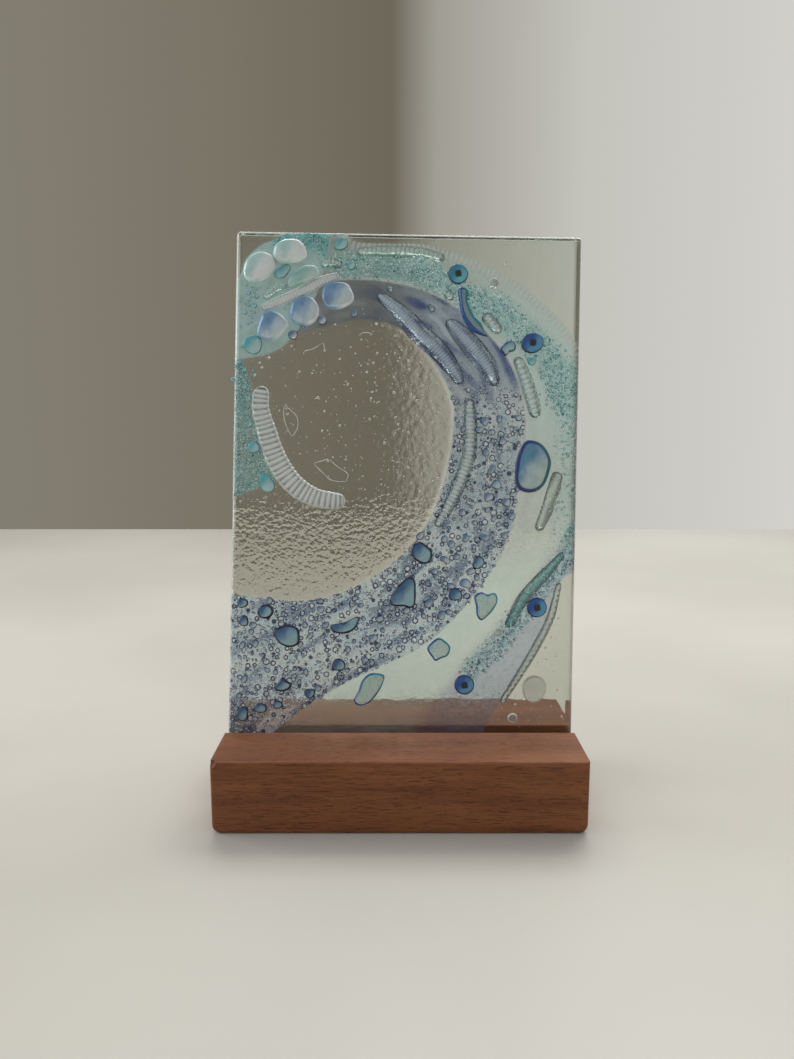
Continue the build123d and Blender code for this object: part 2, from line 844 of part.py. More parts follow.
with BuildPart() as keyhole_drop:
    with BuildSketch(face_plane):
        with Locations(Location(place(keyhole_shares), (0, 0, keyhole_turn))):
            Circle(keyhole_size / 2)
            Polygon(
                (0, 0),
                (keyhole_foot / 2, keyhole_size / 2 - keyhole_length),
                (-keyhole_foot / 2, keyhole_size / 2 - keyhole_length),
                align=None,
            )
    extrude(amount=drop_height)
keep(keyhole_drop, "keyhole_drop")

# Rows of teal frit: their middle lines
crest_frit_shares = [(-0.430, 0.893), (-0.434, 0.860), (-0.434, 0.828)]
margin_frit_shares = [(-0.449, 0.728), (-0.452, 0.670), (-0.450, 0.612)]
hem_frit_shares = [(-0.075, 0.925), (0.020, 0.920), (0.105, 0.905)]
band_frit_shares = [(0.220, 0.884), (0.270, 0.863), (0.325, 0.828)]
edge_frit_shares = [(0.435, 0.735), (0.450, 0.690), (0.452, 0.650)]


def frit_row(route_shares):
    """Row of frit grains at each pitch, every other one beside the line."""
    with BuildPart() as row:
        with BuildLine(mode=Mode.PRIVATE) as route:
            flowing_line([place(share) for share in route_shares])
        path = Wire(route.edges())
        count = int(path.length / frit_pitch)
        with BuildSketch(face_plane):
            for grain in range(count):
                share = (grain + 0.5) / count
                along = path % share
                aside = Vector(-along.Y, along.X) * (frit_sway * (grain % 2))
                with Locations(path @ share + aside):
                    RegularPolygon(frit_size / 2, frit_sides)
        extrude(amount=frit_height, taper=low_taper)
    return row


for name, row in {
    "crest_frit": frit_row(crest_frit_shares),
    "margin_frit": frit_row(margin_frit_shares),
    "hem_frit": frit_row(hem_frit_shares),
    "band_frit": frit_row(band_frit_shares),
    "edge_frit": frit_row(edge_frit_shares),
}.items():
    keep(row, name)
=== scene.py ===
import json
import math
import random

import bmesh
import bpy
import numpy as np
from mathutils import Matrix, Vector, noise


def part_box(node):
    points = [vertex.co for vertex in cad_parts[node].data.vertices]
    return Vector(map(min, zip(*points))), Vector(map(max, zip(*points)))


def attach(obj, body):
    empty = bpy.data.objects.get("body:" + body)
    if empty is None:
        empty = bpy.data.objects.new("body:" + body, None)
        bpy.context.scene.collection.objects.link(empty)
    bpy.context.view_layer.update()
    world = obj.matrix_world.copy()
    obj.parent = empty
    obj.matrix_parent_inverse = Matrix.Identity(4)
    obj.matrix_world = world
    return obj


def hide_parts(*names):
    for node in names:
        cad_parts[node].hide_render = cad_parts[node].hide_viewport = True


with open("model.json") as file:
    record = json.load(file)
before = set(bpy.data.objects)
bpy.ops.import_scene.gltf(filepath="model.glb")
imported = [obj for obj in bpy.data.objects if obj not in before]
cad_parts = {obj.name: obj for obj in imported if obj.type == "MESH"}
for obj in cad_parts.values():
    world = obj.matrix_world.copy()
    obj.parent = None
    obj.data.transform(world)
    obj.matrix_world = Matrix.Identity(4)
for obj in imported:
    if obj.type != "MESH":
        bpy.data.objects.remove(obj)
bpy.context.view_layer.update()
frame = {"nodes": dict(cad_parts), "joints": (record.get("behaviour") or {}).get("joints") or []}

# A curling wave in fused glass, standing in a slotted hardwood block.
# The glass is modelled flat, in millimetres across, up and out of its face, and then
# carried to its leaning place in the frame, which is in metres.

MM = 0.001

# Glass panel and its slot in millimetres, as in the CAD
SLOT_SETBACK = 20.2
SLOT_CLEARANCE = 0.3
PANEL_WIDTH = 100.0
PANEL_RISE = 144.6
PANEL_FOOT = -8.5
PANEL_TOP_TILT = 1.8
PANEL_THICKNESS = 6.0
PANEL_SKIN = 0.04  # how far the fired outline is drawn in
LEFT_EDGE_SLOPE = math.tan(math.radians(1.02))
RIGHT_EDGE_SLOPE = math.tan(math.radians(1.155))
EDGE_ROUND = 1.3
CORNER_ROUND = 1.2
ROUND_STEPS = ((1.0, 0.0), (0.5, 0.13), (0.13, 0.5), (0.0, 1.0))  # shares of the round left and drawn in
MIDDLE_ACROSS = 1.0  # both sides lean to the right, and so does the middle
BARREL_DROP = 0.5
SEAM_BLEND = 0.35  # half the width over which one glass runs into the next
MIST_BLEND = 3.0  # the same for the upper border of the mist
GRID_ACROSS = 214
GRID_UP = 326
GLASS_IOR = 1.5
WOOD_IOR = 1.45

up_glass = Vector(frame["joints"][0]["axis"])
across_glass = Vector((1, 0, 0))
out_of_glass = across_glass.cross(up_glass)
wood_low, wood_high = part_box("wood_stand")
slot_lip = Vector((0, wood_low.y + SLOT_SETBACK * MM, wood_high.z))
face_origin = slot_lip - out_of_glass * SLOT_CLEARANCE * MM
leaning = Matrix((across_glass, up_glass, out_of_glass)).transposed().to_4x4()
glass_place = Matrix.Translation(face_origin) @ leaning @ Matrix.Scale(MM, 4)


def paint(red, green, blue):
    """Linear colour of a named shade, from its 0 to 255 screen values."""
    shades = []
    for part in (red, green, blue):
        part = part / 255
        shades.append(part / 12.92 if part < 0.04 else ((part + 0.055) / 1.055) ** 2.4)
    return (*shades, 1)


class Wire:
    """An output of a material's node, for sums written as Python expressions."""

    def __init__(self, finish, socket):
        self.finish = finish
        self.socket = socket

    def sum(self, operation, first, second=0.0):
        return self.finish.add("ShaderNodeMath", {"operation": operation}, {0: first, 1: second})

    def __add__(self, other):
        return self.sum("ADD", self, other)

    def __radd__(self, other):
        return self.sum("ADD", other, self)

    def __sub__(self, other):
        return self.sum("SUBTRACT", self, other)

    def __mul__(self, other):
        return self.sum("MULTIPLY", self, other)

    def __rmul__(self, other):
        return self.sum("MULTIPLY", other, self)

    def __abs__(self):
        return self.sum("ABSOLUTE", self)


class Finish:
    """A material, whose nodes are all added by one method."""

    def __init__(self, name):
        self.material = bpy.data.materials.new(name)
        self.material.use_nodes = True
        self.tree = self.material.node_tree
        self.tree.nodes.clear()
        self.place = self.add("ShaderNodeTexCoord", output="Object")

    def add(self, kind, settings=None, inputs=None, output=0):
        node = self.tree.nodes.new(kind)
        for name, setting in (settings or {}).items():
            setattr(node, name, setting)
        for name, entry in (inputs or {}).items():
            if isinstance(entry, Wire):
                self.tree.links.new(entry.socket, node.inputs[name])
            else:
                node.inputs[name].default_value = entry
        return Wire(self, node.outputs[output]) if node.outputs else None

    def stretched(self, scale, turn=(0, 0, 0)):
        inputs = {"Vector": self.place, "Scale": scale, "Rotation": turn}
        return self.add("ShaderNodeMapping", None, inputs)

    def noise(self, scale, detail=3.0, vector=None, roughness=0.5):
        inputs = {"Vector": vector or self.place, "Scale": scale, "Detail": detail, "Roughness": roughness}
        return self.add("ShaderNodeTexNoise", None, inputs, "Fac")

    def cells(self, scale):
        return self.add("ShaderNodeTexVoronoi", None, {"Vector": self.place, "Scale": scale}, "Distance")

    def rings(self, scale, thin, least=0.14, spread=0.26):
        """Outlines and insides of round bubbles of mixed sizes, at a number of cells per metre."""
        distance = self.cells(scale)
        cell_shade = Wire(self, distance.socket.node.outputs["Color"])
        chance = self.add("ShaderNodeSeparateColor", None, {0: cell_shade}, "Red")
        radius = least + spread * chance
        outline = self.step(abs(distance - radius), 2 * thin, thin)
        return outline, self.step(distance - radius, 0.0, -0.08)

    def step(self, value, low, high):
        settings = {"interpolation_type": "SMOOTHSTEP"}
        return self.add("ShaderNodeMapRange", settings, {"Value": value, "From Min": low, "From Max": high})

    def wave(self, run, pitch):
        sine = self.add("ShaderNodeMath", {"operation": "SINE"}, {0: run * (2 * math.pi / pitch)})
        return 0.5 + 0.5 * sine

    def ramp(self, value, stops):
        """Colour along a row of screen shades, each at its position from 0 to 1."""
        colour = self.add("ShaderNodeValToRGB", None, {"Fac": value}, "Color")
        elements = colour.socket.node.color_ramp.elements
        while len(elements) < len(stops):
            elements.new(0.5)
        for element, (position, shade) in zip(elements, stops):
            element.position = position
            element.color = paint(*shade)
        return colour

    def mix(self, factor, first, second):
        """Blend of two colours, each a wire or a screen shade."""
        first, second = (shade if isinstance(shade, Wire) else paint(*shade) for shade in (first, second))
        return self.add("ShaderNodeMix", {"data_type": "RGBA"}, {0: factor, 6: first, 7: second}, 2)

    def read(self, attribute, output="Fac"):
        return self.add("ShaderNodeAttribute", {"attribute_name": attribute}, output=output)

    def bump(self, height, distance):
        return self.add("ShaderNodeBump", None, {"Height": height, "Distance": distance}, "Normal")

    def surface(self, **inputs):
        sockets = {name.replace("_", " "): entry for name, entry in inputs.items()}
        return self.add("ShaderNodeBsdfPrincipled", None, sockets, "BSDF")

    def glass(self, see_through, **inputs):
        return self.surface(IOR=GLASS_IOR, Transmission_Weight=see_through, **inputs)

    def blend(self, factor, first, second):
        return self.add("ShaderNodeMixShader", None, {0: factor, 1: first, 2: second}, "Shader")

    def done(self, shader):
        self.add("ShaderNodeOutputMaterial", None, {"Surface": shader})
        return self.material


# Cut lines of the wave, as shares of the panel's width and rise
TEAL_LINE = [
    (-0.180, 1.040), (-0.140, 0.987), (-0.040, 0.979), (0.075, 0.976), (0.228, 0.941),
    (0.346, 0.895), (0.448, 0.837), (0.516, 0.776), (0.580, 0.700),
]
BLUE_LINE = [
    (-0.400, 0.816), (-0.270, 0.885), (-0.149, 0.906), (0.035, 0.891), (0.161, 0.850),
    (0.294, 0.766), (0.355, 0.671), (0.360, 0.581), (0.340, 0.484), (0.316, 0.389),
    (0.224, 0.281), (0.073, 0.176), (-0.149, 0.102), (-0.330, 0.021), (-0.480, -0.080),
]
BARREL_LINE = [
    (-0.580, 0.287), (-0.311, 0.263), (-0.149, 0.286), (-0.001, 0.351), (0.106, 0.453),
    (0.156, 0.607), (0.132, 0.701), (0.025, 0.799), (-0.100, 0.826), (-0.223, 0.811),
    (-0.340, 0.788), (-0.460, 0.775),
]
CREST_LINE = [
    (-0.190, 1.040), (-0.210, 0.954), (-0.240, 0.878), (-0.290, 0.809), (-0.380, 0.757),
    (-0.580, 0.740),
]
HEM_LINE = [
    (-0.560, 0.830), (-0.468, 0.911), (-0.447, 0.947), (-0.402, 0.976), (-0.357, 0.989),
    (-0.300, 1.010), (-0.220, 1.051),
]
MARGIN_SIDE = [(-0.460, 0.754), (-0.410, 0.650), (-0.380, 0.560), (-0.340, 0.508)]
MARGIN_FOOT = [(-0.340, 0.508), (-0.580, 0.443)]
PALE_LINE = [
    (0.580, 0.415), (0.470, 0.377), (0.380, 0.304), (0.295, 0.228), (0.180, 0.138),
    (0.060, 0.028), (-0.020, -0.083),
]
MIST_LINE = [
    (0.580, 0.346), (0.470, 0.304), (0.428, 0.214), (0.360, 0.128), (0.298, 0.066),
    (0.240, 0.000), (0.180, -0.083),
]

# Middle lines of the dense froth
UPPER_FROTH = [
    (-0.165, 0.938), (-0.041, 0.936), (0.060, 0.922), (0.162, 0.874), (0.263, 0.850),
    (0.350, 0.804), (0.436, 0.744), (0.505, 0.660),
]
LOWER_FROTH = [(0.510, 0.400), (0.483, 0.350), (0.422, 0.300), (0.350, 0.236), (0.286, 0.178), (0.205, 0.124)]
CREST_FROTH = [(-0.340, 0.985), (-0.229, 0.982), (-0.185, 0.958), (-0.160, 0.930)]
EDGE_FROTH = [(0.500, 0.700), (0.505, 0.588), (0.505, 0.480), (0.505, 0.400)]


def place(shares):
    """Points on the panel, in millimetres, from their shares of its width and rise."""
    return np.array(shares, float)[:, :2] * (PANEL_WIDTH, PANEL_RISE)


def smooth_span(first, start, end, last, steps):
    """Evenly spaced points on the smooth curve from start up to end."""
    shares = (np.arange(steps) / steps)[:, None]
    swing = 2 * shares**3 - 3 * shares**2
    leave = (end - first) / 2
    arrive = (last - start) / 2
    return (
        (1 + swing) * start - swing * end
        + (shares**3 - 2 * shares**2 + shares) * leave + (shares**3 - shares**2) * arrive
    )


def smooth_line(shares, steps=6):
    """Smooth line through the points, as a row of closely spaced points in millimetres."""
    points = place(shares)
    before = np.vstack((2 * points[0] - points[1], points, 2 * points[-1] - points[-2]))
    spans = [smooth_span(*corners, steps) for corners in zip(before, before[1:], before[2:], before[3:])]
    return np.vstack((*spans, points[-1:]))


def beside(points, line, side=1):
    """Distance of each point from a line, positive on the chosen side, and how far along it lies."""
    starts = line[:-1]
    steps = np.diff(line, axis=0)
    lengths = np.hypot(steps[:, 0], steps[:, 1])
    reached = np.concatenate(([0], np.cumsum(lengths)))[:-1]
    best = np.full(len(points), np.inf)
    signed = np.zeros(len(points))
    along = np.zeros(len(points))
    for start, step, length, run in zip(starts, steps, lengths, reached):
        offset = points - start
        share = np.clip(offset @ step / length**2, 0, 1)
        gap = offset - share[:, None] * step
        distance = np.hypot(gap[:, 0], gap[:, 1])
        nearer = distance < best
        turn = np.sign(step[0] * offset[:, 1] - step[1] * offset[:, 0])
        best = np.where(nearer, distance, best)
        signed = np.where(nearer, distance * turn * side, signed)
        along = np.where(nearer, run + share * length, along)
    return signed, along


def fade(value, low, high):
    """Smooth step from 0 at low to 1 at high."""
    share = np.clip((value - low) / (high - low), 0, 1)
    return share * share * (3 - 2 * share)


def near(points, shares, core, limit):
    """1 within the core distance of a line, and 0 beyond the limit."""
    distance, _ = beside(points, smooth_line(shares))
    return 1 - fade(np.abs(distance), core, limit)


class Bands:
    """How much each part of the wave covers each point of the panel, from 0 to 1."""

    def __init__(self, points):
        def inside(distance):
            return fade(distance, -SEAM_BLEND, SEAM_BLEND)

        self.points = points
        self.rise = points[:, 1] / PANEL_RISE
        self.reach = points[:, 0] / PANEL_WIDTH
        self.teal_depth, self.teal_along = beside(points, smooth_line(TEAL_LINE), -1)
        self.blue_depth, self.along = beside(points, smooth_line(BLUE_LINE), -1)
        self.barrel_depth, _ = beside(points, smooth_line(BARREL_LINE), 1)
        crest_depth, _ = beside(points, smooth_line(CREST_LINE), -1)
        hem_depth, _ = beside(points, smooth_line(HEM_LINE), 1)
        side_depth, _ = beside(points, smooth_line(MARGIN_SIDE), -1)
        foot_depth, _ = beside(points, place(MARGIN_FOOT), -1)
        pale_depth, _ = beside(points, smooth_line(PALE_LINE), 1)
        mist_depth, _ = beside(points, smooth_line(MIST_LINE), 1)
        misty = fade(pale_depth, -MIST_BLEND, MIST_BLEND)
        self.corner = inside(hem_depth)
        self.crest = inside(crest_depth) * (1 - self.corner)
        free = 1 - inside(crest_depth)
        self.margin = inside(np.minimum(side_depth, foot_depth)) * free
        free = free * (1 - self.margin)
        self.barrel = inside(self.barrel_depth) * free
        self.blue = inside(self.blue_depth) * (1 - inside(self.barrel_depth)) * free
        self.mist = misty * (1 - inside(mist_depth))
        self.outer = inside(self.teal_depth) * (1 - inside(self.blue_depth)) * free * (1 - misty)
        self.lower_corner = inside(mist_depth)
        self.sky = (1 - inside(self.teal_depth)) * (1 - inside(crest_depth))
        self.plain = self.sky + self.corner + self.lower_corner
        self.upper = fade(self.rise, 0.50, 0.66)
        self.lower = 1 - fade(self.rise, 0.30, 0.42)
        self.upper_froth = near(points, UPPER_FROTH, 2.5, 6.5)
        self.lower_froth = near(points, LOWER_FROTH, 1.2, 4.5)
        self.edge_froth = near(points, EDGE_FROTH, 1.5, 9.0)
        self.crest_froth = near(points, CREST_FROTH, 1.5, 4.5)


def waver(points, size, seed):
    """Soft random field over the panel, about -1 to 1."""
    return np.array([noise.noise(Vector((x / size, y / size, seed))) for x, y in points])


def new_shape(*layer_names):
    """Empty mesh with layers of single values."""
    shape = bmesh.new()
    for layer_name in layer_names:
        shape.verts.layers.float.new(layer_name)
    return shape


def finish_piece(shape, name, material, nodes=()):
    """Makes the mesh an object that rides on the panel and stands for its CAD nodes."""
    bmesh.ops.transform(shape, matrix=glass_place, verts=shape.verts)
    bmesh.ops.recalc_face_normals(shape, faces=shape.faces)
    for face in shape.faces:
        face.smooth = True
    mesh = bpy.data.meshes.new(name)
    shape.to_mesh(mesh)
    shape.free()
    mesh.materials.append(material)
    piece = bpy.data.objects.new(name, mesh)
    bpy.context.scene.collection.objects.link(piece)
    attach(piece, "panel")
    if nodes:
        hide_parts(*nodes)
    return piece


# Fused glass: clear glass with a milky layer of froth and colour on its face
def fused_glass():
    finish = Finish("fused_glass")
    veil = finish.read("veil")
    froth = finish.read("froth")
    bubble = finish.read("bubble")
    hammer = finish.read("hammer")
    pits = finish.read("pits")
    hem = finish.read("hem")
    tint = finish.read("tint", "Color")
    ground = finish.read("ground", "Color")
    rim = finish.read("rim", "Color")

    fine_ring, fine_bubble_glint = finish.rings(1350, 0.07, 0.24, 0.24)
    middle_ring, middle_bubble_glint = finish.rings(780, 0.055)
    large_ring, large_bubble_glint = finish.rings(440, 0.045)
    _, seed_glint_spots = finish.rings(390, 0.02, 0.02, 0.11)
    cloud = finish.noise(170, 4.0, roughness=0.6)
    patch = finish.step(finish.noise(330, 2.0), 0.38, 0.58)
    rib = finish.wave(finish.read("hem_run") + 1.2 * finish.noise(260, 2.0), 1.45)
    ring = finish.step(froth * (0.5 * fine_ring + middle_ring * patch) + bubble * large_ring, 0.15, 0.85)
    eye = finish.step(froth * fine_bubble_glint + bubble * (middle_bubble_glint + large_bubble_glint), 0.2, 0.8)
    speck_glint = seed_glint_spots * hammer
    # Painted highlight: the insides of the bubbles are painted pale, as the light that each bubble's lens
    # gathers.
    shade = finish.mix(0.9 * eye, ground, (232, 244, 242))
    shade = finish.mix(0.95 * ring, shade, rim)
    shade = finish.mix(0.7 * hem * rib * cloud, shade, (236, 240, 234))
    # Painted highlight: pale specks over the hammered glass, where light would glint on its dimples.
    shade = finish.mix(speck_glint, shade, (236, 232, 218))
    cover = veil * (0.5 + 1.0 * cloud) + 0.75 * ring + 0.5 * eye * froth + 0.8 * speck_glint + 0.3 * hem * rib
    pebbles = finish.noise(800, 2.0)
    height = hammer * (0.35 * pebbles + 0.25 * seed_glint_spots) + pits * (0.9 * pebbles + 0.6 * finish.cells(900))
    height = height + froth * (0.3 * fine_ring + 0.3 * middle_ring)
    height = height + 0.10 * finish.noise(300, 3.0) + 0.2 * hem * rib
    normal = finish.bump(height, 0.00028)
    clear = finish.glass(1.0, Base_Color=tint, Roughness=0.03, Normal=normal)
    milky = finish.glass(
        0.3, Base_Color=shade, Roughness=0.2, Normal=normal, Coat_Weight=0.4, Coat_Roughness=0.05
    )
    return finish.done(finish.blend(finish.step(cover, 0.0, 1.0), clear, milky))


def colour_field(shape, layer_name, shades, default):
    """Paints a colour layer: each screen shade over the last, by how much it covers each point."""
    layer = shape.verts.layers.float_color.new(layer_name)
    colour = np.tile(np.array(paint(*default), float), (len(shape.verts), 1))
    for cover, shade in shades:
        colour = colour + cover[:, None] * (np.array(paint(*shade), float) - colour)
    for vert, entry in zip(shape.verts, colour.tolist()):
        vert[layer] = entry


def value_field(shape, layer_name, values):
    """Writes a layer of single values."""
    layer = shape.verts.layers.float.new(layer_name)
    for vert, entry in zip(shape.verts, np.asarray(values, float).tolist()):
        vert[layer] = entry


def panel_points(across, up):
    """Points of the slightly skewed outline, for shares from 0 to 1, and their gaps from the edge."""
    left_top = PANEL_RISE + PANEL_TOP_TILT / 2 - PANEL_SKIN
    right_top = PANEL_RISE - PANEL_TOP_TILT / 2 - PANEL_SKIN
    height = PANEL_FOOT + up * (left_top + across * (right_top - left_top) - PANEL_FOOT)
    left = height * LEFT_EDGE_SLOPE - PANEL_WIDTH / 2 + PANEL_SKIN
    right = height * RIGHT_EDGE_SLOPE + PANEL_WIDTH / 2 - PANEL_SKIN
    points = np.stack((left + across * (right - left), height), axis=1)
    gap_across = np.minimum(across, 1 - across) * PANEL_WIDTH
    gap_up = np.minimum(up, 1 - up) * (PANEL_RISE - PANEL_FOOT)
    over = np.clip(CORNER_ROUND - np.stack((gap_across, gap_up), axis=1), 0, None)
    reach = np.hypot(over[:, 0], over[:, 1])
    pull = np.where(reach > CORNER_ROUND, 1 - CORNER_ROUND / np.maximum(reach, CORNER_ROUND), 0)
    inward = np.stack((np.where(across < 0.5, 1, -1), np.where(up < 0.5, 1, -1)), axis=1)
    in_corner = (over[:, 0] > 0) & (over[:, 1] > 0)
    corner_gap = CORNER_ROUND - np.minimum(reach, CORNER_ROUND)
    gap = np.where(in_corner, corner_gap, np.minimum(gap_across, gap_up))
    return points + over * pull[:, None] * inward, gap


def face_lift(bands):
    """Height of the fired face over its flat, with the two flows that shape it and place its painted shade
    and light.
    """
    run = np.stack((bands.along / 4, bands.blue_depth), axis=1)
    streaks = waver(run, 2.6, 1.0)
    swirl = waver(run * (0.7, 1.0), 5.5, 7.0)
    dent = BARREL_DROP * fade(bands.barrel_depth, -0.6, 1.2)
    lift = bands.barrel * (0.08 * waver(bands.points, 1.6, 3.0) - dent)
    lift = lift - (bands.blue * 0.35 + bands.outer * 0.2 + bands.mist * 0.12) * swirl
    lift = lift - (bands.blue + bands.outer) * 0.10 * streaks
    return lift + 0.05 * bands.plain * waver(bands.points, 5.0, 9.0), streaks, swirl


def paint_panel(shape, bands, across, up, streaks, swirl):
    """Writes the colours and the froth of each part of the wave."""
    teal_edge = 1 - fade(bands.teal_depth, 1.3, 3.2)
    froth = np.clip(bands.upper_froth + 0.6 * bands.edge_froth, 0, 1) * bands.outer
    low_froth = bands.lower_froth * np.clip(bands.outer + bands.mist, 0, 1)
    over_field = fade(bands.rise, 0.62, 0.74)
    upper_blue = bands.blue * over_field
    field = bands.blue * (1 - over_field)
    # Painted shade and light: the hollows of the swirled face are painted darker blue as shade and its crests
    # paler as light, over streaks of blue and white in the glass.
    shaded_valley = fade(0.7 * swirl + streaks, 0.02, 0.40)
    lit_hill = fade(-0.7 * swirl - streaks, 0.02, 0.40)
    pits = fade(-bands.rise, -0.52, -0.36)
    blue_start = fade(bands.reach, -0.16, 0.14)
    blue_seam = np.exp(-((bands.blue_depth + 0.5) / 0.45) ** 2) * fade(bands.rise, 0.42, 0.55) * bands.outer
    left_line = 1 - fade(across * PANEL_WIDTH, 0.25, 0.8)
    right_line = 1 - fade((1 - across) * PANEL_WIDTH, 0.7, 1.5)
    top_line = 1 - fade((1 - up) * PANEL_RISE, 0.25, 0.9)
    colour_field(shape, "tint", [
        (bands.outer * bands.upper, (190, 228, 224)),
        (bands.crest, (200, 226, 224)),
        (bands.barrel, (220, 216, 202)),
        (upper_blue, (168, 190, 212)),
        (field, (168, 194, 214)),
        (bands.margin, (196, 228, 226)),
        (bands.mist, (164, 178, 192)),
        (bands.outer * bands.lower, (198, 220, 212)),
        (bands.lower_corner * bands.lower, (194, 195, 184)),
        (bands.barrel * pits, (164, 161, 149)),
    ], (218, 221, 210))
    colour_field(shape, "ground", [
        (bands.outer, (206, 224, 216)),
        (froth, (168, 220, 214)),
        (bands.outer * teal_edge, (206, 218, 206)),
        (bands.outer * bands.lower, (180, 210, 204)),
        (bands.crest, (206, 250, 246)),
        (bands.crest * bands.crest_froth, (120, 206, 204)),
        (upper_blue, (84, 112, 152)),
        (upper_blue * shaded_valley, (24, 54, 124)),
        (upper_blue * lit_hill, (186, 206, 218)),
        (field, (150, 178, 194)),
        (field * shaded_valley, (54, 84, 128)),
        (field * lit_hill, (222, 232, 228)),
        (bands.margin, (140, 212, 210)),
        (bands.mist, (118, 136, 158)),
        (low_froth, (136, 200, 194)),
        (blue_seam, (224, 232, 226)),
        (right_line, (136, 138, 130)),
        (top_line, (92, 168, 176)),
        (left_line, (222, 228, 222)),
    ], (212, 212, 202))
    colour_field(shape, "rim", [
        (bands.outer, (30, 132, 132)),
        (bands.crest, (30, 136, 142)),
        (bands.blue, (6, 20, 70)),
        (bands.mist, (50, 72, 124)),
        (bands.margin, (24, 128, 134)),
    ], (150, 152, 144))
    value_field(shape, "veil", (
        bands.outer * (0.42 + 0.2 * teal_edge) * (1 - 0.35 * bands.lower) + 0.22 * froth + 0.15 * low_froth
        + bands.crest * (0.62 + 0.25 * bands.crest_froth)
        + upper_blue * (0.22 + 0.38 * blue_start) * (0.6 + 0.7 * (shaded_valley + lit_hill))
        + field * (0.34 + 0.26 * (lit_hill + shaded_valley))
        + bands.mist * 0.30 + bands.margin * 0.35 + bands.barrel * 0.02 + bands.plain * 0.03
        + 0.5 * blue_seam + left_line + 0.9 * top_line * fade(-bands.reach, -0.2, 0.1) + 0.5 * right_line
    ))
    value_field(shape, "froth", (
        0.15 * bands.outer + 0.80 * froth + 0.8 * low_froth + bands.crest * (0.15 + 0.8 * bands.crest_froth)
        + upper_blue * (0.08 + 0.25 * blue_start) + 0.75 * field + 0.3 * bands.mist + 0.8 * bands.margin
    ) * (1 - 0.7 * bands.outer * teal_edge))
    value_field(shape, "bubble", 0.9 * field + 0.4 * low_froth + 0.3 * bands.margin)
    value_field(shape, "hammer", bands.barrel + 0.25 * (bands.sky + bands.lower_corner))
    value_field(shape, "pits", bands.barrel * (0.12 + 0.88 * pits))
    value_field(shape, "hem", bands.outer * teal_edge)
    value_field(shape, "hem_run", bands.teal_along)


def fused_panel():
    """The fired panel: base sheet and all front pieces as one body of glass."""
    shape = bmesh.new()
    bmesh.ops.create_grid(shape, x_segments=GRID_ACROSS, y_segments=GRID_UP, size=0.5)
    shares = np.clip(np.array([vert.co[:2] for vert in shape.verts]) + 0.5, 0, 1)
    across, up = shares[:, 0], shares[:, 1]
    points, gap = panel_points(across, up)
    sunk = np.clip(EDGE_ROUND - gap, 0, EDGE_ROUND)
    edge_fall = EDGE_ROUND - np.sqrt(EDGE_ROUND**2 - sunk**2)

    bands = Bands(points)
    lift, streaks, swirl = face_lift(bands)
    for vert, point, height in zip(shape.verts, points.tolist(), (lift - edge_fall).tolist()):
        vert.co = (*point, height)
    paint_panel(shape, bands, across, up, streaks, swirl)

    # Side walls, the round on the back edge and the flat back
    middle = Vector((MIDDLE_ACROSS, (PANEL_RISE + PANEL_FOOT) / 2))
    rim_edges = [edge for edge in shape.edges if edge.is_boundary]
    values = [shape.verts.layers.float[name] for name in ("veil", "froth", "bubble", "hammer", "pits", "hem")]
    tint = shape.verts.layers.float_color["tint"]
    half_width = PANEL_WIDTH / 2
    half_rise = (PANEL_RISE - PANEL_FOOT) / 2
    drawn = 0.0
    for share_left, share_in in ROUND_STEPS:
        inset = share_in * EDGE_ROUND
        made = bmesh.ops.extrude_edge_only(shape, edges=rim_edges)["geom"]
        for vert in (item for item in made if isinstance(item, bmesh.types.BMVert)):
            vert.co.x = middle.x + (vert.co.x - middle.x) * (1 - (inset - drawn) / half_width)
            vert.co.y = middle.y + (vert.co.y - middle.y) * (1 - (inset - drawn) / half_rise)
            vert.co.z = share_left * EDGE_ROUND - PANEL_THICKNESS
            vert[tint] = paint(230, 236, 230)
            for value in values:
                vert[value] = 0.0
        rim_edges = [item for item in made if isinstance(item, bmesh.types.BMEdge) and item.is_boundary]
        drawn = inset
    for edge in rim_edges:
        edge.smooth = False
    bmesh.ops.contextual_create(shape, geom=rim_edges)
    nodes = [
        "base_sheet", "corner_sheet_left", "sky_sheet", "corner_sheet_right", "crest_sheet", "teal_band",
        "shoulder_band", "pale_band", "mist_band", "blue_band", "blue_field", "margin_sheet", "barrel_sheet",
    ]
    piece = finish_piece(shape, "fused_panel", fused_glass(), nodes)
    piece.visible_shadow = False


# Hardwood block
def hardwood():
    finish = Finish("hardwood")
    rings = finish.noise(1.0, 3.0, finish.stretched((9, 130, 130)), 0.55)
    fibre = finish.noise(1.0, 5.0, finish.stretched((60, 1900, 1900)), 0.65)
    pores = finish.step(finish.noise(1.0, 2.0, finish.stretched((260, 5200, 5200))), 0.60, 0.68)
    ribbon = finish.noise(1.0, 2.0, finish.stretched((24, 60, 200)))
    shade = finish.ramp(rings * 0.6 + fibre * 0.4, [
        (0.30, (92, 48, 24)), (0.47, (118, 66, 36)),
        (0.60, (138, 82, 46)), (0.75, (108, 58, 30)),
    ])
    shade = finish.mix(0.35 * finish.step(ribbon, 0.35, 0.7), shade, (156, 100, 60))
    shade = finish.mix(pores * 0.55, shade, (62, 30, 16))
    normal = finish.bump(fibre * 0.5 - pores, 0.00008)
    return finish.done(finish.surface(
        Base_Color=shade, Roughness=0.42 + 0.22 * finish.noise(70, 2.0), IOR=WOOD_IOR, Normal=normal,
        Specular_IOR_Level=0.4,
    ))


# Glass pieces on the face
RIM_BLEND = 0.3
STRIP_STEP = 0.26  # millimetres from one row of a strip's grid to the next
STRIP_ROWS_LEAST = 6
STRIP_COLUMNS = 10
HEADING_REACH = 0.4  # millimetres ahead and behind from which a strip takes its heading
TIP_LEAST = 0.02
PEBBLE_SUNK = 0.25  # share of a pebble's height that goes below the face
OUTLINE_STEPS = 8  # points from one corner of an outline to the next, and the same for routes
STRIP_ROUTE_STEPS = 14
BEAD_ROUTE_STEPS = 20


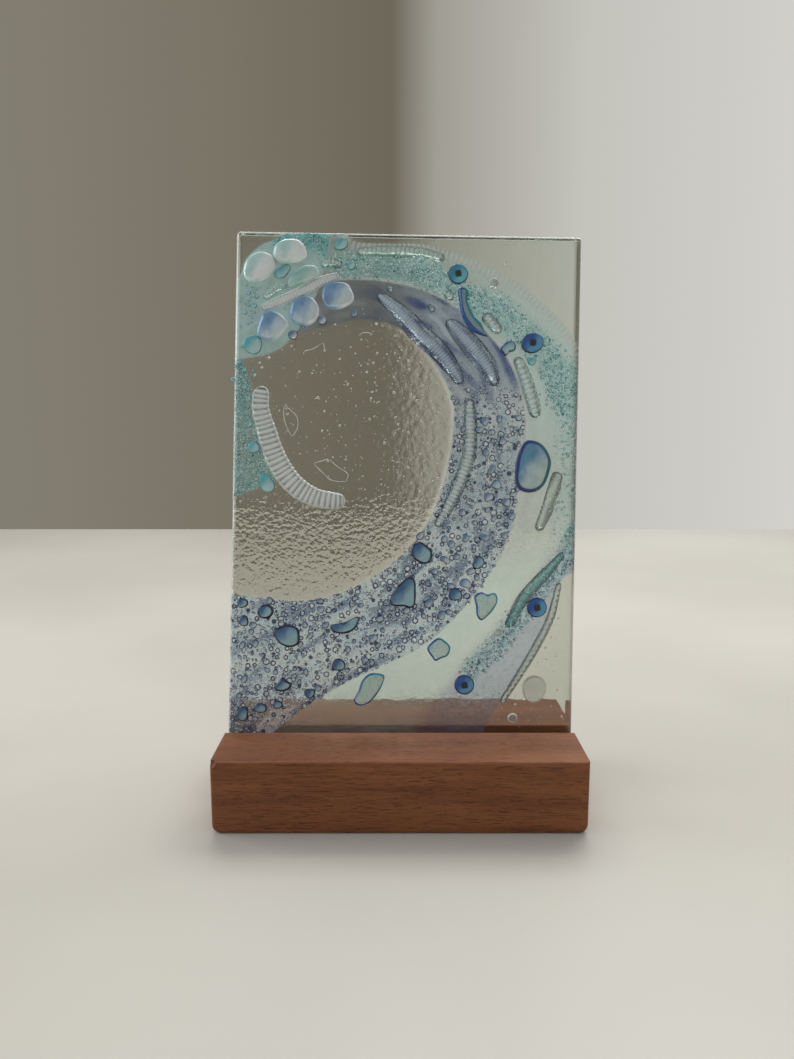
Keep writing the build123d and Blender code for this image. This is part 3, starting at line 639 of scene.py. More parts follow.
def poured_glass(name, rims, shaded_and_lit_cores, core_cover, rim_from=0.35, see_through=0.3, roughness=0.06):
    """Drop or nugget: a rim, different on its left and right, round a core that may be part clear. The core
    is darker to its upper left as painted shade and lighter to its lower right as painted light gathered by
    its lens.
    """
    finish = Finish(name)
    edge = finish.read("edge")
    side = finish.read("side")
    rise = finish.read("rise")
    cloud = finish.noise(260, 3.0)
    streak = finish.noise(1.0, 3.0, finish.stretched((300, 190, 190), (0, 0.6, 0)))
    brim = finish.step(edge + 0.15 * (cloud - 0.5), rim_from, rim_from + RIM_BLEND)
    # Rims differ left and right; on the nuggets the lighter right rim is a painted highlight.
    rim = finish.mix(finish.step(side + 0.4 * cloud, 0.0, 0.7), rims[0], rims[1])
    # Painted shade and light: the core is darker to its upper left and lighter to its lower right, as the
    # light that a lens gathers, with random streaks.
    body = finish.mix(finish.step(0.5 * side - 0.5 * rise + streak, 0.1, 0.9), shaded_and_lit_cores[0], shaded_and_lit_cores[1])
    shade = finish.mix(brim, body, rim)
    coloured = finish.glass(
        see_through, Base_Color=shade, Roughness=roughness, Coat_Weight=0.6, Coat_Roughness=0.03
    )
    clear = finish.glass(1.0, Base_Color=paint(236, 240, 238), Roughness=roughness)
    cover = core_cover * (0.5 + streak) + (1 - core_cover) * brim
    return finish.done(finish.blend(finish.step(cover, 0.0, 1.0), clear, coloured))


def ribbed_glass(name, shade, shaded_hollow_colour, cover, brim=0.0, shadow=0.0):
    """Milky ribbed glass that thins out at its borders and in the hollows between its ribs, where its colour
    is darker as painted shade; with shadow set, a painted shadow runs along one side.
    """
    finish = Finish(name)
    crown = finish.read("crown")
    edge = finish.read("edge")
    side = finish.read("side")
    cloud = finish.noise(420, 3.0)
    # Painted shade: the hollows between the ribs take the darker colour.
    tone = finish.mix(finish.step(crown + 0.3 * cloud, 0.35, 1.05), shaded_hollow_colour, shade)
    line = brim * finish.step(edge, 0.70, 0.88)
    tone = finish.mix(line, tone, (236, 240, 234))
    # Painted shadow along one side of the strip.
    dark = shadow * finish.step(side + 0.3 * cloud, 0.35, 0.75)
    tone = finish.mix(dark, tone, (84, 84, 76))
    normal = finish.bump(finish.noise(1300, 3.0), 0.00006)
    milky = finish.glass(0.3, Base_Color=tone, Roughness=0.16, Coat_Weight=0.5, Normal=normal)
    clear = finish.glass(1.0, Base_Color=paint(232, 238, 234), Roughness=0.05, Normal=normal)
    thickness = finish.step(crown + 0.25 * cloud, 0.10, 0.75) * cover + line + 0.5 * dark
    return finish.done(finish.blend(finish.step(thickness, 0.0, 1.0), clear, milky))


taken_places = []  # centres of the large pieces on the face and how far they reach, in millimetres


def close_below(shape, depth):
    """Closes an open shape a little under the face of the panel."""
    border = [edge for edge in shape.edges if edge.is_boundary]
    made = bmesh.ops.extrude_edge_only(shape, edges=border)["geom"]
    for item in made:
        if isinstance(item, bmesh.types.BMVert):
            item.co.z -= depth
    border = [item for item in made if isinstance(item, bmesh.types.BMEdge) and item.is_boundary]
    bmesh.ops.contextual_create(shape, geom=border)


def add_strip(shape, line, widths, height, pitch=0.0, depth=0.0, shoulder=2.0, fall=1.2, sunk=0.12):
    """Adds a strip along a line of points, with a rounded section and ribs across it at a pitch."""
    crown, edge, side = (shape.verts.layers.float[name] for name in ("crown", "edge", "side"))
    steps = np.diff(line, axis=0)
    run = np.concatenate(([0], np.cumsum(np.hypot(steps[:, 0], steps[:, 1]))))
    length = run[-1]
    rows = max(int(length / STRIP_STEP), STRIP_ROWS_LEAST)
    grid = bmesh.ops.create_grid(shape, x_segments=rows, y_segments=STRIP_COLUMNS, size=0.5)["verts"]
    points = []
    rises = []
    for vert in grid:
        at = (vert.co.x + 0.5) * length
        aside = vert.co.y * 2
        ends = [
            np.array([np.interp(spot, run, line[:, 0]), np.interp(spot, run, line[:, 1])])
            for spot in (max(at - HEADING_REACH, 0), at, min(at + HEADING_REACH, length))
        ]
        heading = (ends[2] - ends[0]) / np.hypot(*(ends[2] - ends[0]))
        width = np.interp(at / length, np.linspace(0, 1, len(widths)), widths)
        end_gap = min(min(at, length - at) / (width / 2), 1)
        taper = math.sqrt(max(1 - (1 - end_gap) ** 2, TIP_LEAST))
        shift = 0.3 * noise.noise(Vector((at / 3, width, height)))
        rib = 0.5 + 0.5 * math.cos(2 * math.pi * (at / pitch + shift)) if pitch else 1.0
        wide = width / 2 * taper * (0.94 + 0.06 * rib)
        arch = max(1 - abs(aside) ** shoulder, 0.0) ** fall
        points.append(ends[1] + np.array([-heading[1], heading[0]]) * aside * wide)
        rises.append(arch * taper * (1 - depth + depth * rib))
        vert[crown] = rises[-1]
        vert[edge] = max(abs(aside), 1 - end_gap)
        vert[side] = aside
    lift = face_lift(Bands(np.array(points)))[0]
    for vert, point, rise, base in zip(grid, points, rises, lift.tolist()):
        vert.co = (*point, base + height * rise)
    close_below(shape, sunk)


def strip_piece(node, route, widths, height, pitch, depth, material, slot, **section):
    """One strip that stands for its CAD node."""
    line = smooth_line(route, STRIP_ROUTE_STEPS)
    shape = new_shape("crown", "edge", "side", "rise")
    add_strip(shape, line, widths, height, pitch, depth, **section)
    taken_places.extend((x, y, 0.35 * max(widths)) for x, y in line[::5])
    return finish_piece(shape, f"{node}_fired", material, [node])


def oval_reach(length, width, turn, corner=2.0, wobble=(0.0, 0.0)):
    """Distance of an oval's or soft box's outline from its centre, in each direction."""
    def reach(angle):
        turned = angle - math.radians(turn)
        flat = abs(math.cos(turned) * 2 / length) ** corner + abs(math.sin(turned) * 2 / width) ** corner
        return (1 + wobble[0] * math.cos(3 * turned + wobble[1])) * flat ** (-1 / corner)

    return reach


def poured_reach(outline):
    """Distance of a drop's own outline from its centre, in each direction."""
    points = np.array(outline, float)
    spans = [
        smooth_span(*(points[(index + step) % len(points)] for step in (-1, 0, 1, 2)), OUTLINE_STEPS)
        for index in range(len(points))
    ]
    line = np.vstack(spans)
    angles = np.arctan2(line[:, 1], line[:, 0])
    reaches = np.hypot(line[:, 0], line[:, 1])
    return lambda angle: float(np.interp(angle, angles, reaches, period=2 * math.pi))


def pebbles(placed, sides, rings, crown=2.2, rim=0.9):
    """Rounded pebbles on the face, each from its centre, its reach in each direction and its height."""
    pattern = new_shape("edge", "side", "rise")
    bmesh.ops.create_uvsphere(pattern, u_segments=sides, v_segments=rings, radius=1)
    sphere = bpy.data.meshes.new("pattern")
    pattern.to_mesh(sphere)
    pattern.free()
    shape = new_shape("edge", "side", "rise")
    for _ in placed:
        shape.from_mesh(sphere)
    bpy.data.meshes.remove(sphere)
    edge, side, rise = (shape.verts.layers.float[name] for name in ("edge", "side", "rise"))
    bases = face_lift(Bands(np.array([entry[0] for entry in placed])))[0].tolist()
    verts = list(shape.verts)
    count = len(verts) // len(placed)
    for index, ((centre, reach_at, height), base) in enumerate(zip(placed, bases)):
        for vert in verts[index * count:(index + 1) * count]:
            x, y, z = vert.co
            share = min(math.hypot(x, y), 1)
            angle = math.atan2(y, x)
            reach = reach_at(angle)
            bulge = height * max(1 - share**crown, 0) ** (1 / crown)
            vert.co = (
                centre[0] + share * reach * math.cos(angle), centre[1] + share * reach * math.sin(angle),
                base + (bulge if z > 0 else -PEBBLE_SUNK * bulge),
            )
            vert[edge] = max(1 - (1 - share) * reach / min(rim, 0.8 * reach), 0)
            vert[side] = share * math.cos(angle)
            vert[rise] = share * math.sin(angle)
    return shape


def pebble_group(node, entries, height, material, slot, size=1.0, seed=0, wobble=0.0, corner=2.0, **form):
    """Group of drops, each an oval of the kind's size or with an outline of its own."""
    chance = random.Random(seed)
    placed = []
    form = {"sides": 40, "rings": 20, **form}
    for entry in entries:
        centre = place([entry[:2]])[0]
        if len(entry) == 3:
            reach_at = poured_reach(entry[2])
        else:
            length, width, turn = entry[2] * size, entry[3] * size, entry[4]
            uneven = (wobble, chance.uniform(0, 2 * math.pi))
            reach_at = oval_reach(length, width, turn, corner, uneven)
        placed.append((centre, reach_at, height))
        furthest = max(reach_at(math.radians(angle)) for angle in range(0, 360, 30))
        taken_places.append((*centre, 0.85 * furthest))
    return finish_piece(pebbles(placed, **form), f"{node}_fired", material, [node])


def bead_row(node, route, count, spread, radii, seed, material):
    """Crushed glass fired to small beads along a route, none through another."""
    chance = random.Random(seed)
    line = smooth_line(route, BEAD_ROUTE_STEPS)
    beads = []
    for _ in range(count):
        x, y = line[chance.randrange(len(line))]
        x, y = x + chance.gauss(0, spread), y + chance.gauss(0, spread)
        radius = radii[0] + (radii[1] - radii[0]) * chance.random() ** 2
        if any((x - a) ** 2 + (y - b) ** 2 < (radius + c) ** 2 for a, b, c in beads):
            continue
        beads.append((x, y, radius))
    taken_places.extend(beads)
    placed = [((x, y), oval_reach(2 * radius, 1.8 * radius, 0), 0.8 * radius) for x, y, radius in beads]
    return finish_piece(pebbles(placed, 10, 6, rim=0.5), f"{node}_fired", material, [node])


# Sizes of the kinds of pieces on the face, in millimetres
DROP_SIZE, EYE_SIZE, BEAD_SIZE = 8.7, 6.0, 2.6

# Pieces with outlines of their own: place as shares of the panel, and the outline in millimetres
WHITE_NUGGETS = [
    (-0.407, 0.930, [
        (-4.5, -1.8), (-4.0, 1.2), (-2.0, 3.5), (0.7, 4.5), (3.7, 3.5), (4.7, 1.2), (4.3, -0.8),
        (2.0, -3.2), (-0.7, -4.3), (-3.3, -3.8),
    ]),
    (-0.318, 0.961, [
        (-4.8, -0.7), (-4.2, 1.7), (-2.3, 3.2), (0.4, 3.7), (2.7, 3.3), (4.4, 1.7), (4.9, -0.7),
        (4.1, -2.0), (1.4, -3.0), (-1.3, -3.5), (-3.9, -2.7),
    ]),
]
BLUE_NUGGETS = [
    (-0.369, 0.813, [
        (-2.5, 3.8), (-0.2, 4.3), (2.2, 3.5), (4.6, 1.2), (4.4, -0.5), (2.5, -2.7), (-0.2, -4.3),
        (-2.5, -3.9), (-4.4, -2.5), (-4.0, 0.5), (-3.2, 2.5),
    ]),
    (-0.276, 0.843, [
        (-4.3, 0.0), (-3.5, 2.4), (-1.5, 3.9), (0.8, 4.3), (2.8, 3.4), (4.1, 1.4), (4.2, -0.9),
        (3.2, -2.9), (1.2, -4.1), (-1.2, -4.2), (-3.2, -3.3), (-4.2, -1.6),
    ]),
    (-0.179, 0.874, [
        (-4.7, 0.2), (-4.2, 2.3), (-2.6, 3.6), (0.1, 3.8), (2.7, 3.3), (4.0, 1.5), (4.7, -0.5),
        (4.0, -2.2), (2.1, -3.3), (-0.3, -4.0), (-2.9, -3.5), (-4.3, -1.8),
    ]),
]
GREEN_NUGGET = [
    (-0.279, 0.913, [
        (-4.6, -1.9), (-3.8, 0.0), (-1.8, 1.7), (0.5, 2.9), (2.8, 3.1), (4.2, 2.3), (4.6, 1.0),
        (3.8, -0.3), (1.5, -1.4), (-0.8, -2.3), (-3.2, -3.2), (-4.3, -3.0),
    ]),
]
BLUE_DROPS = [
    (0.063, 0.360, [
        (-2.5, 2.2), (-0.8, 3.1), (1.0, 2.5), (3.1, 0.1), (2.4, -2.7), (0.5, -3.3), (-2.2, -1.9), (-3.1, 0.4),
    ]),
    (0.011, 0.280, [
        (-3.9, -1.7), (-3.6, -3.8), (0.0, -4.1), (3.1, -4.2), (3.6, 1.2), (3.1, 4.0), (1.3, 4.4),
        (-0.9, 2.6), (-2.3, 1.2),
    ]),
    (-0.328, 0.194, [
        (-3.9, 0.7), (-2.9, 2.0), (0.0, 3.2), (2.9, 2.4), (3.8, 0.7), (3.6, -2.3), (1.5, -3.4),
        (-1.2, -2.9), (-2.9, -1.4),
    ]),
    (-0.158, 0.215, [
        (-4.4, -0.2), (-3.7, -1.9), (-1.0, -2.6), (1.8, -1.9), (3.5, -0.2), (4.3, 2.4), (2.6, 2.2),
        (0.4, 1.0), (-2.3, 0.4),
    ]),
    (-0.389, 0.242, 0.56, 0.49, 15),
    (-0.339, 0.094, [
        (-2.6, -0.4), (-1.4, 0.8), (-0.1, 2.3), (1.5, 1.2), (2.6, 0.4), (2.1, -0.9), (0.3, -1.8),
        (-1.8, -1.6),
    ]),
]
CLEAR_DROPS = [
    (0.113, 0.168, [
        (-3.3, 0.3), (-1.7, 2.1), (0.1, 3.1), (1.9, 2.1), (3.4, 0.3), (2.6, -2.1), (0.6, -3.0),
        (-1.0, -3.7), (-2.1, -2.4), (-3.1, -1.0),
    ]),
    (0.252, 0.254, [
        (-3.6, 2.7), (-1.6, 3.9), (0.2, 3.2), (2.3, 3.7), (3.2, 1.8), (2.3, -0.7), (0.4, -3.0),
        (-1.6, -4.4), (-2.9, -2.9), (-3.2, 0.0),
    ]),
    (-0.088, 0.086, [
        (-4.6, -3.3), (-3.2, -0.4), (-2.2, 2.4), (-0.2, 4.4), (1.9, 4.7), (4.4, 4.0), (4.0, 2.0),
        (2.6, -0.9), (0.0, -3.9), (-2.9, -4.8),
    ]),
]
LONG_DROP = [
    (0.386, 0.533, [
        (-0.9, 7.6), (1.9, 6.8), (4.0, 4.6), (5.2, 1.4), (4.6, -2.1), (3.3, -5.3), (1.2, -7.2),
        (-1.2, -7.7), (-3.7, -7.0), (-5.1, -4.9), (-5.2, -1.1), (-4.6, 2.8), (-3.3, 5.7), (-2.3, 7.1),
    ]),
]
KEYHOLE_DROP = [
    (0.318, 0.772, [
        (-2.8, -0.8), (-1.2, 1.2), (-0.2, 1.7), (1.2, 1.6), (1.9, 0.2), (1.4, -1.2), (-0.2, -1.7),
        (-1.2, -2.9), (-2.0, -2.0),
    ]),
]

# Ovals: place as shares of the panel, length and width as shares of the kind's size, and the turn
EYES = [
    (0.169, 0.917, 0.97, 0.97, 0), (0.384, 0.779, 1.10, 0.97, 20), (0.397, 0.250, 0.97, 0.97, 0),
    (0.187, 0.095, 0.97, 0.97, 0),
]
SMALL_BLUE_DROPS = [
    (-0.177, 0.135, 1.54, 1.35, 0), (-0.456, 0.259, 1.23, 1.12, 0), (-0.452, 0.223, 1.23, 1.08, 90),
    (-0.261, 0.078, 1.23, 1.12, 0), (-0.457, 0.036, 1.65, 1.35, 80), (-0.404, 0.048, 1.46, 1.12, 0),
    (-0.354, 0.055, 1.12, 1.00, 0), (0.161, 0.276, 1.54, 1.46, 0), (0.228, 0.340, 1.54, 1.23, 60),
]
ROYAL_DOTS = [(-0.309, 0.796, 1.08, 1.08, 0), (-0.224, 0.825, 1.04, 1.04, 0), (-0.132, 0.838, 0.81, 0.81, 0)]
TEAL_BEADS = [
    (-0.425, 0.776, 2.10, 2.10, 0), (-0.169, 0.977, 1.62, 1.27, 30), (-0.386, 0.499, 2.30, 1.54, -62),
    (-0.424, 0.571, 1.38, 1.38, 0), (-0.139, 0.934, 0.92, 0.92, 0), (-0.340, 0.922, 2.10, 1.20, 35),
    (0.382, 0.743, 0.92, 0.92, 0),
]
CLEAR_BEADS = [
    (0.390, 0.087, 3.15, 2.69, 80), (0.327, 0.028, 1.15, 1.15, 0), (0.285, 0.201, 1.00, 1.00, 0),
    (0.272, 0.898, 1.23, 1.23, 0),
]
BLUE_SEEDS = [
    (0.246, 0.623, 1.04, 0.92, -40), (0.298, 0.583, 0.92, 0.85, 60), (0.266, 0.526, 1.27, 0.73, 60),
    (0.280, 0.496, 1.12, 1.00, -30), (0.257, 0.471, 1.08, 1.00, 0), (0.308, 0.461, 1.12, 0.92, -20),
    (0.181, 0.440, 0.85, 0.85, 0), (0.324, 0.433, 0.85, 0.85, 0), (0.191, 0.389, 0.92, 0.77, 80),
    (0.246, 0.390, 1.23, 0.73, -10), (0.303, 0.394, 0.81, 0.81, 0), (0.149, 0.376, 0.92, 0.77, -15),
    (0.131, 0.346, 1.27, 0.69, -25), (0.101, 0.322, 0.77, 0.69, 0), (0.191, 0.298, 1.38, 1.00, -20),
    (0.084, 0.258, 1.15, 0.85, 40), (0.121, 0.234, 1.08, 0.85, 60), (-0.041, 0.248, 1.00, 0.85, 0),
    (-0.078, 0.188, 1.08, 0.92, 30), (-0.229, 0.246, 0.85, 0.77, 0),
]

# Routes of the strips and of the rows of frit
CREST_RIB_LEFT = [(-0.394, 0.869), (-0.356, 0.887), (-0.328, 0.896)]
CREST_RIB_RIGHT = [(-0.230, 0.934), (-0.200, 0.941), (-0.167, 0.935)]
CREST_FROST = [(-0.402, 0.848), (-0.346, 0.864), (-0.282, 0.883), (-0.229, 0.902), (-0.176, 0.914)]
HEM_RIB = [(-0.125, 0.962), (-0.040, 0.963), (0.060, 0.960), (0.130, 0.948)]
DIVIDER_TOP = [(0.130, 0.879), (0.144, 0.874), (0.156, 0.868)]
DIVIDER_MIDDLE = [(0.243, 0.838), (0.267, 0.820), (0.291, 0.800)]
DIVIDER_LOWER = [(0.337, 0.751), (0.353, 0.728), (0.368, 0.700), (0.383, 0.666), (0.396, 0.630)]
RIDGE_LEFT = [
    (-0.064, 0.878), (0.005, 0.838), (0.060, 0.797), (0.110, 0.766), (0.150, 0.731), (0.180, 0.698),
]
RIDGE_RIGHT = [(0.136, 0.825), (0.177, 0.797), (0.217, 0.766), (0.255, 0.731), (0.278, 0.694)]
INNER_RIB = [
    (0.202, 0.668), (0.204, 0.607), (0.198, 0.550), (0.174, 0.501), (0.142, 0.454), (0.106, 0.412),
]
SHOULDER_ROD = [(0.459, 0.522), (0.446, 0.488), (0.423, 0.440), (0.399, 0.404)]
LOWER_RIB = [(0.462, 0.300), (0.436, 0.228), (0.390, 0.165), (0.341, 0.109), (0.294, 0.059)]
TEAL_STREAK = [(0.474, 0.359), (0.435, 0.327), (0.390, 0.294), (0.350, 0.260), (0.312, 0.210)]
FOAM_MIDDLE = [
    (-0.399, 0.694), (-0.404, 0.650), (-0.384, 0.599), (-0.357, 0.546), (-0.311, 0.499),
    (-0.252, 0.472), (-0.197, 0.464), (-0.158, 0.463),
]
TAIL_ROUTE = [(0.185, 0.892), (0.185, 0.862), (0.199, 0.832), (0.228, 0.808), (0.254, 0.793)]
CREST_FRIT = [(-0.430, 0.893), (-0.434, 0.860), (-0.434, 0.828)]
MARGIN_FRIT = [(-0.449, 0.728), (-0.452, 0.670), (-0.450, 0.612)]
HEM_FRIT = [(-0.075, 0.925), (0.020, 0.920), (0.105, 0.905)]
BAND_FRIT = [(0.220, 0.884), (0.270, 0.863), (0.325, 0.828)]
EDGE_FRIT = [(0.435, 0.735), (0.450, 0.690), (0.452, 0.650)]

# Fine pale marks in the glass
BARREL_MARKS = [
    [(-0.281, 0.757), (-0.274, 0.765), (-0.248, 0.770), (-0.226, 0.781)],
    [(-0.226, 0.781), (-0.221, 0.778), (-0.218, 0.766)],
    [(-0.118, 0.795), (-0.108, 0.801), (-0.088, 0.801), (-0.080, 0.795)],
    [(-0.335, 0.656), (-0.337, 0.636), (-0.328, 0.611), (-0.312, 0.592)],
    [(-0.312, 0.592), (-0.297, 0.611), (-0.298, 0.631), (-0.314, 0.644), (-0.335, 0.656)],
    [(-0.251, 0.539), (-0.226, 0.544), (-0.206, 0.548)],
    [(-0.206, 0.548), (-0.178, 0.531), (-0.151, 0.518), (-0.155, 0.502)],
    [(-0.155, 0.502), (-0.197, 0.505), (-0.226, 0.522), (-0.251, 0.539)],
]
FACE_MARKS = [
    [(0.298, 0.934), (0.304, 0.940), (0.309, 0.943)],
    [(0.309, 0.943), (0.320, 0.931), (0.330, 0.921)],
    [(0.411, 0.764), (0.422, 0.754), (0.432, 0.744)],
]


THREAD_WIDTHS = [0.2, 0.3, 0.2]
THREAD_HEIGHT = 0.07
THREAD_SUNK = 0.05
BUBBLE_MARGIN = 1.4  # bubbles keep this far from the sides of the panel, in millimetres
BUBBLE_CELL = 3  # side of the cells in which bubbles look for their neighbours
BUBBLE_ROOM = 1.12  # times its radius, the room that a bubble takes
CLEAR_GAP = 0.5


def marks_piece(name, marks, material):
    """Hair-thin threads fired into the surface."""
    shape = new_shape("crown", "edge", "side", "rise")
    for mark in marks:
        add_strip(shape, smooth_line(mark), THREAD_WIDTHS, THREAD_HEIGHT, sunk=THREAD_SUNK)
    return finish_piece(shape, name, material)


def scatter_bubbles(name, count, seed, density, radii, material, stretch=1.3):
    """Seeded bubbles over a part of the wave, none through another, each of a few dozen faces."""
    chance = random.Random(seed)
    candidates = np.array([
        (chance.uniform(-0.5, 0.53) * PANEL_WIDTH, chance.uniform(0.01, 1.0) * PANEL_RISE)
        for _ in range(count)
    ])
    share = density(Bands(candidates)) * keep_clear(candidates)
    taken = {}
    placed = []
    for (x, y), chosen in zip(candidates.tolist(), share.tolist()):
        draw = chance.random()
        radius = radii[0] + (radii[1] - radii[0]) * chance.random() ** 4
        angle = chance.uniform(0, 180)
        longer = chance.uniform(1.0, stretch)
        phase = chance.uniform(0, 2 * math.pi)
        left = y * LEFT_EDGE_SLOPE - PANEL_WIDTH / 2
        right = y * RIGHT_EDGE_SLOPE + PANEL_WIDTH / 2
        if draw > chosen or x < left + BUBBLE_MARGIN or x > right - BUBBLE_MARGIN:
            continue
        column, row = int(x // BUBBLE_CELL), int(y // BUBBLE_CELL)
        nearby = [
            bubble for i in (-1, 0, 1) for j in (-1, 0, 1) for bubble in taken.get((column + i, row + j), ())
        ]
        if any((x - a) ** 2 + (y - b) ** 2 < (radius + c) ** 2 for a, b, c in nearby):
            continue
        taken.setdefault((column, row), []).append((x, y, radius * BUBBLE_ROOM))
        reach_at = oval_reach(2 * radius * longer, 2 * radius, angle, 2.3, (0.07, phase))
        placed.append(((x, y), reach_at, 0.42 * radius + 0.1))
    return finish_piece(pebbles(placed, 8, 4, rim=0.7), name, material)


def keep_clear(points):
    """1 away from the large pieces on the face, and 0 under them."""
    clear = np.ones(len(points))
    for x, y, reach in taken_places:
        distance = np.hypot(points[:, 0] - x, points[:, 1] - y)
        clear = np.where(distance < reach + CLEAR_GAP, 0, clear)
    return clear


# Stage, in metres: a pale floor that runs back to a wall that glows, painted darker to the left as shade and
# lighter to the right as light, and the camera in front of the block
FLOOR_BACK = 0.53
STAGE_REACH = 3
CAMERA_PLACE = (-0.0008, -0.2232, 0.1123)
CAMERA_PITCH = 8.5  # degrees below level
CAMERA_LENS = 27.0  # millimetres, as the width of the sensor
CAMERA_SENSOR = 36.0
CAMERA_NEAR = 0.01
ROOM_COLOUR = (0.95, 0.97, 1.0, 1)
ROOM_LIGHT = 0.48


def stage_plane(name, material, turn, move):
    shape = bmesh.new()
    bmesh.ops.create_grid(shape, x_segments=1, y_segments=1, size=STAGE_REACH)
    bmesh.ops.rotate(shape, verts=shape.verts, matrix=Matrix.Rotation(turn, 3, "X"))
    bmesh.ops.translate(shape, verts=shape.verts, vec=move)
    mesh = bpy.data.meshes.new(name)
    shape.to_mesh(mesh)
    shape.free()
    mesh.materials.append(material)
    plane = bpy.data.objects.new(name, mesh)
    bpy.context.scene.collection.objects.link(plane)


def pale_floor():
    finish = Finish("pale_floor")
    shade = finish.mix(finish.step(finish.noise(5.0, 3.0), 0.3, 0.7), (199, 196, 187), (212, 209, 200))
    return finish.done(finish.surface(Base_Color=shade, Roughness=0.35, Specular_IOR_Level=0.3))


def glowing_wall_with_painted_shade():
    finish = Finish("glowing_wall_with_painted_shade")
    # The wall glows though it is no lamp; its colour is painted shade to the left, as a wall in shadow, and
    # painted light to the right.
    sideways = finish.add("ShaderNodeSeparateXYZ", None, {0: finish.place})
    shade = finish.ramp(finish.add("ShaderNodeMapRange", None, {
        "Value": sideways, "From Min": -0.45, "From Max": 0.55,
    }), [
        (0.10, (131, 126, 114)), (0.30, (122, 116, 103)), (0.445, (110, 104, 90)),
        (0.485, (160, 157, 148)), (0.62, (196, 195, 188)), (0.90, (214, 213, 208)),
    ])
    return finish.done(finish.surface(
        Base_Color=(0, 0, 0, 1), Roughness=1.0, Specular_IOR_Level=0.0, Emission_Color=shade,
        Emission_Strength=1.0,
    ))


def add_light(name, place_at, aim, size, power, colour):
    lamp = bpy.data.lights.new(name, "AREA")
    lamp.shape = "RECTANGLE"
    lamp.size, lamp.size_y = size
    lamp.energy = power
    lamp.color = colour
    light = bpy.data.objects.new(name, lamp)
    light.location = place_at
    light.rotation_euler = (Vector(aim) - Vector(place_at)).to_track_quat("-Z", "Y").to_euler()
    bpy.context.scene.collection.objects.link(light)


def stage_light():
    world = bpy.data.worlds.new("soft_room")
    world.use_nodes = True
    background = world.node_tree.nodes["Background"]
    background.inputs["Color"].default_value = ROOM_COLOUR
    background.inputs["Strength"].default_value = ROOM_LIGHT
    bpy.context.scene.world = world
    add_light("ceiling", (0.05, 0.42, 0.60), (0, 0.02, 0.05), (0.8, 0.4), 4.2, (1.0, 0.98, 0.95))
    add_light("window", (-0.75, 0.1, 0.35), (0, 0, 0.09), (0.5, 0.6), 3.0, (0.97, 0.98, 1.0))


def stage_camera():
    lens = bpy.data.cameras.new("camera")
    lens.lens = CAMERA_LENS
    lens.sensor_width = CAMERA_SENSOR
    lens.clip_start = CAMERA_NEAR
    camera = bpy.data.objects.new("camera", lens)
    camera.location = CAMERA_PLACE
    camera.rotation_euler = (math.radians(90 - CAMERA_PITCH), 0, 0)
    bpy.context.scene.collection.objects.link(camera)
    bpy.context.scene.camera = camera


stage_plane("floor", pale_floor(), 0, (0, FLOOR_BACK - STAGE_REACH, 0))
stage_plane("wall", glowing_wall_with_painted_shade(), math.pi / 2, (0, FLOOR_BACK, 0))
stage_light()
stage_camera()
bpy.context.scene.view_settings.view_transform = "Standard"

wood_mesh = frame["nodes"]["wood_stand"].data
wood_mesh.materials.clear()
wood_mesh.materials.append(hardwood())

fused_panel()

# Finishes of the pieces on the face: rims left and right, the two shades of the core (painted shade and
# painted light) and how far it is covered, then where the rim begins, how much is seen through and the
# roughness
TEAL, AQUA, INK = (8, 112, 132), (20, 138, 146), (3, 12, 52)
navy = poured_glass("navy_bubble", (INK, INK), ((110, 150, 186), (224, 234, 238)), 0.9, 0.46, 0.25)
sea = poured_glass("teal_bubble", (AQUA, AQUA), ((160, 216, 212), (232, 244, 242)), 0.8, 0.5)
# Pale seeds on the hammered glass: small domes whose pale colour is a painted highlight.
seed_glint_glass = poured_glass(
    "pale_seed_glint", ((210, 206, 192), (236, 234, 224)), ((226, 222, 210), (240, 238, 230)), 0.6, 0.6
)
blue = poured_glass("blue_drop", (INK, INK), ((30, 96, 150), (166, 208, 214)), 1.0, 0.20, 0.25)
clear_core = poured_glass(
    "clear_drop", ((6, 84, 156), (10, 140, 158)), ((176, 218, 214), (222, 234, 228)), 0.45, 0.12
)
great = poured_glass(
    "great_drop", ((6, 40, 120), TEAL), ((90, 158, 196), (214, 232, 226)), 0.8, 0.15
)
aqua = poured_glass("aqua_bead", (AQUA, TEAL), ((96, 200, 208), (206, 238, 236)), 0.8, 0.55)
eye_blue = poured_glass(
    "eye_glass", ((4, 20, 70), (8, 34, 92)), ((20, 84, 176), (96, 176, 220)), 1.0, 0.4
)
eye_aqua = poured_glass(
    "aqua_eye_glass", ((4, 60, 96), (8, 84, 110)), ((20, 150, 180), (120, 214, 222)), 1.0, 0.4
)
core = poured_glass("core_glass", ((4, 6, 14), (4, 6, 14)), ((5, 7, 16), (8, 12, 26)), 1.0, 0.9, 0.0)
# Nuggets: their near-white right rims are painted highlights, and their cores are painted lighter to the
# lower right.
frost = poured_glass(
    "white_nugget_glass", ((214, 240, 236), (254, 255, 254)), ((190, 228, 222), (250, 254, 252)),
    0.95, 0.30, 0.15,
)
ice = poured_glass(
    "blue_nugget_glass", ((140, 182, 220), (252, 254, 254)), ((116, 164, 206), (222, 238, 242)),
    0.9, 0.30, 0.25,
)
moss = poured_glass(
    "green_nugget_glass", ((176, 222, 212), (240, 250, 246)), ((150, 208, 198), (220, 240, 230)),
    0.9, 0.30, 0.25,
)
pebble = poured_glass(
    "clear_bead_glass", ((206, 206, 196), (236, 236, 230)), ((206, 206, 196), (226, 226, 218)),
    0.35, 0.4, 0.5,
)
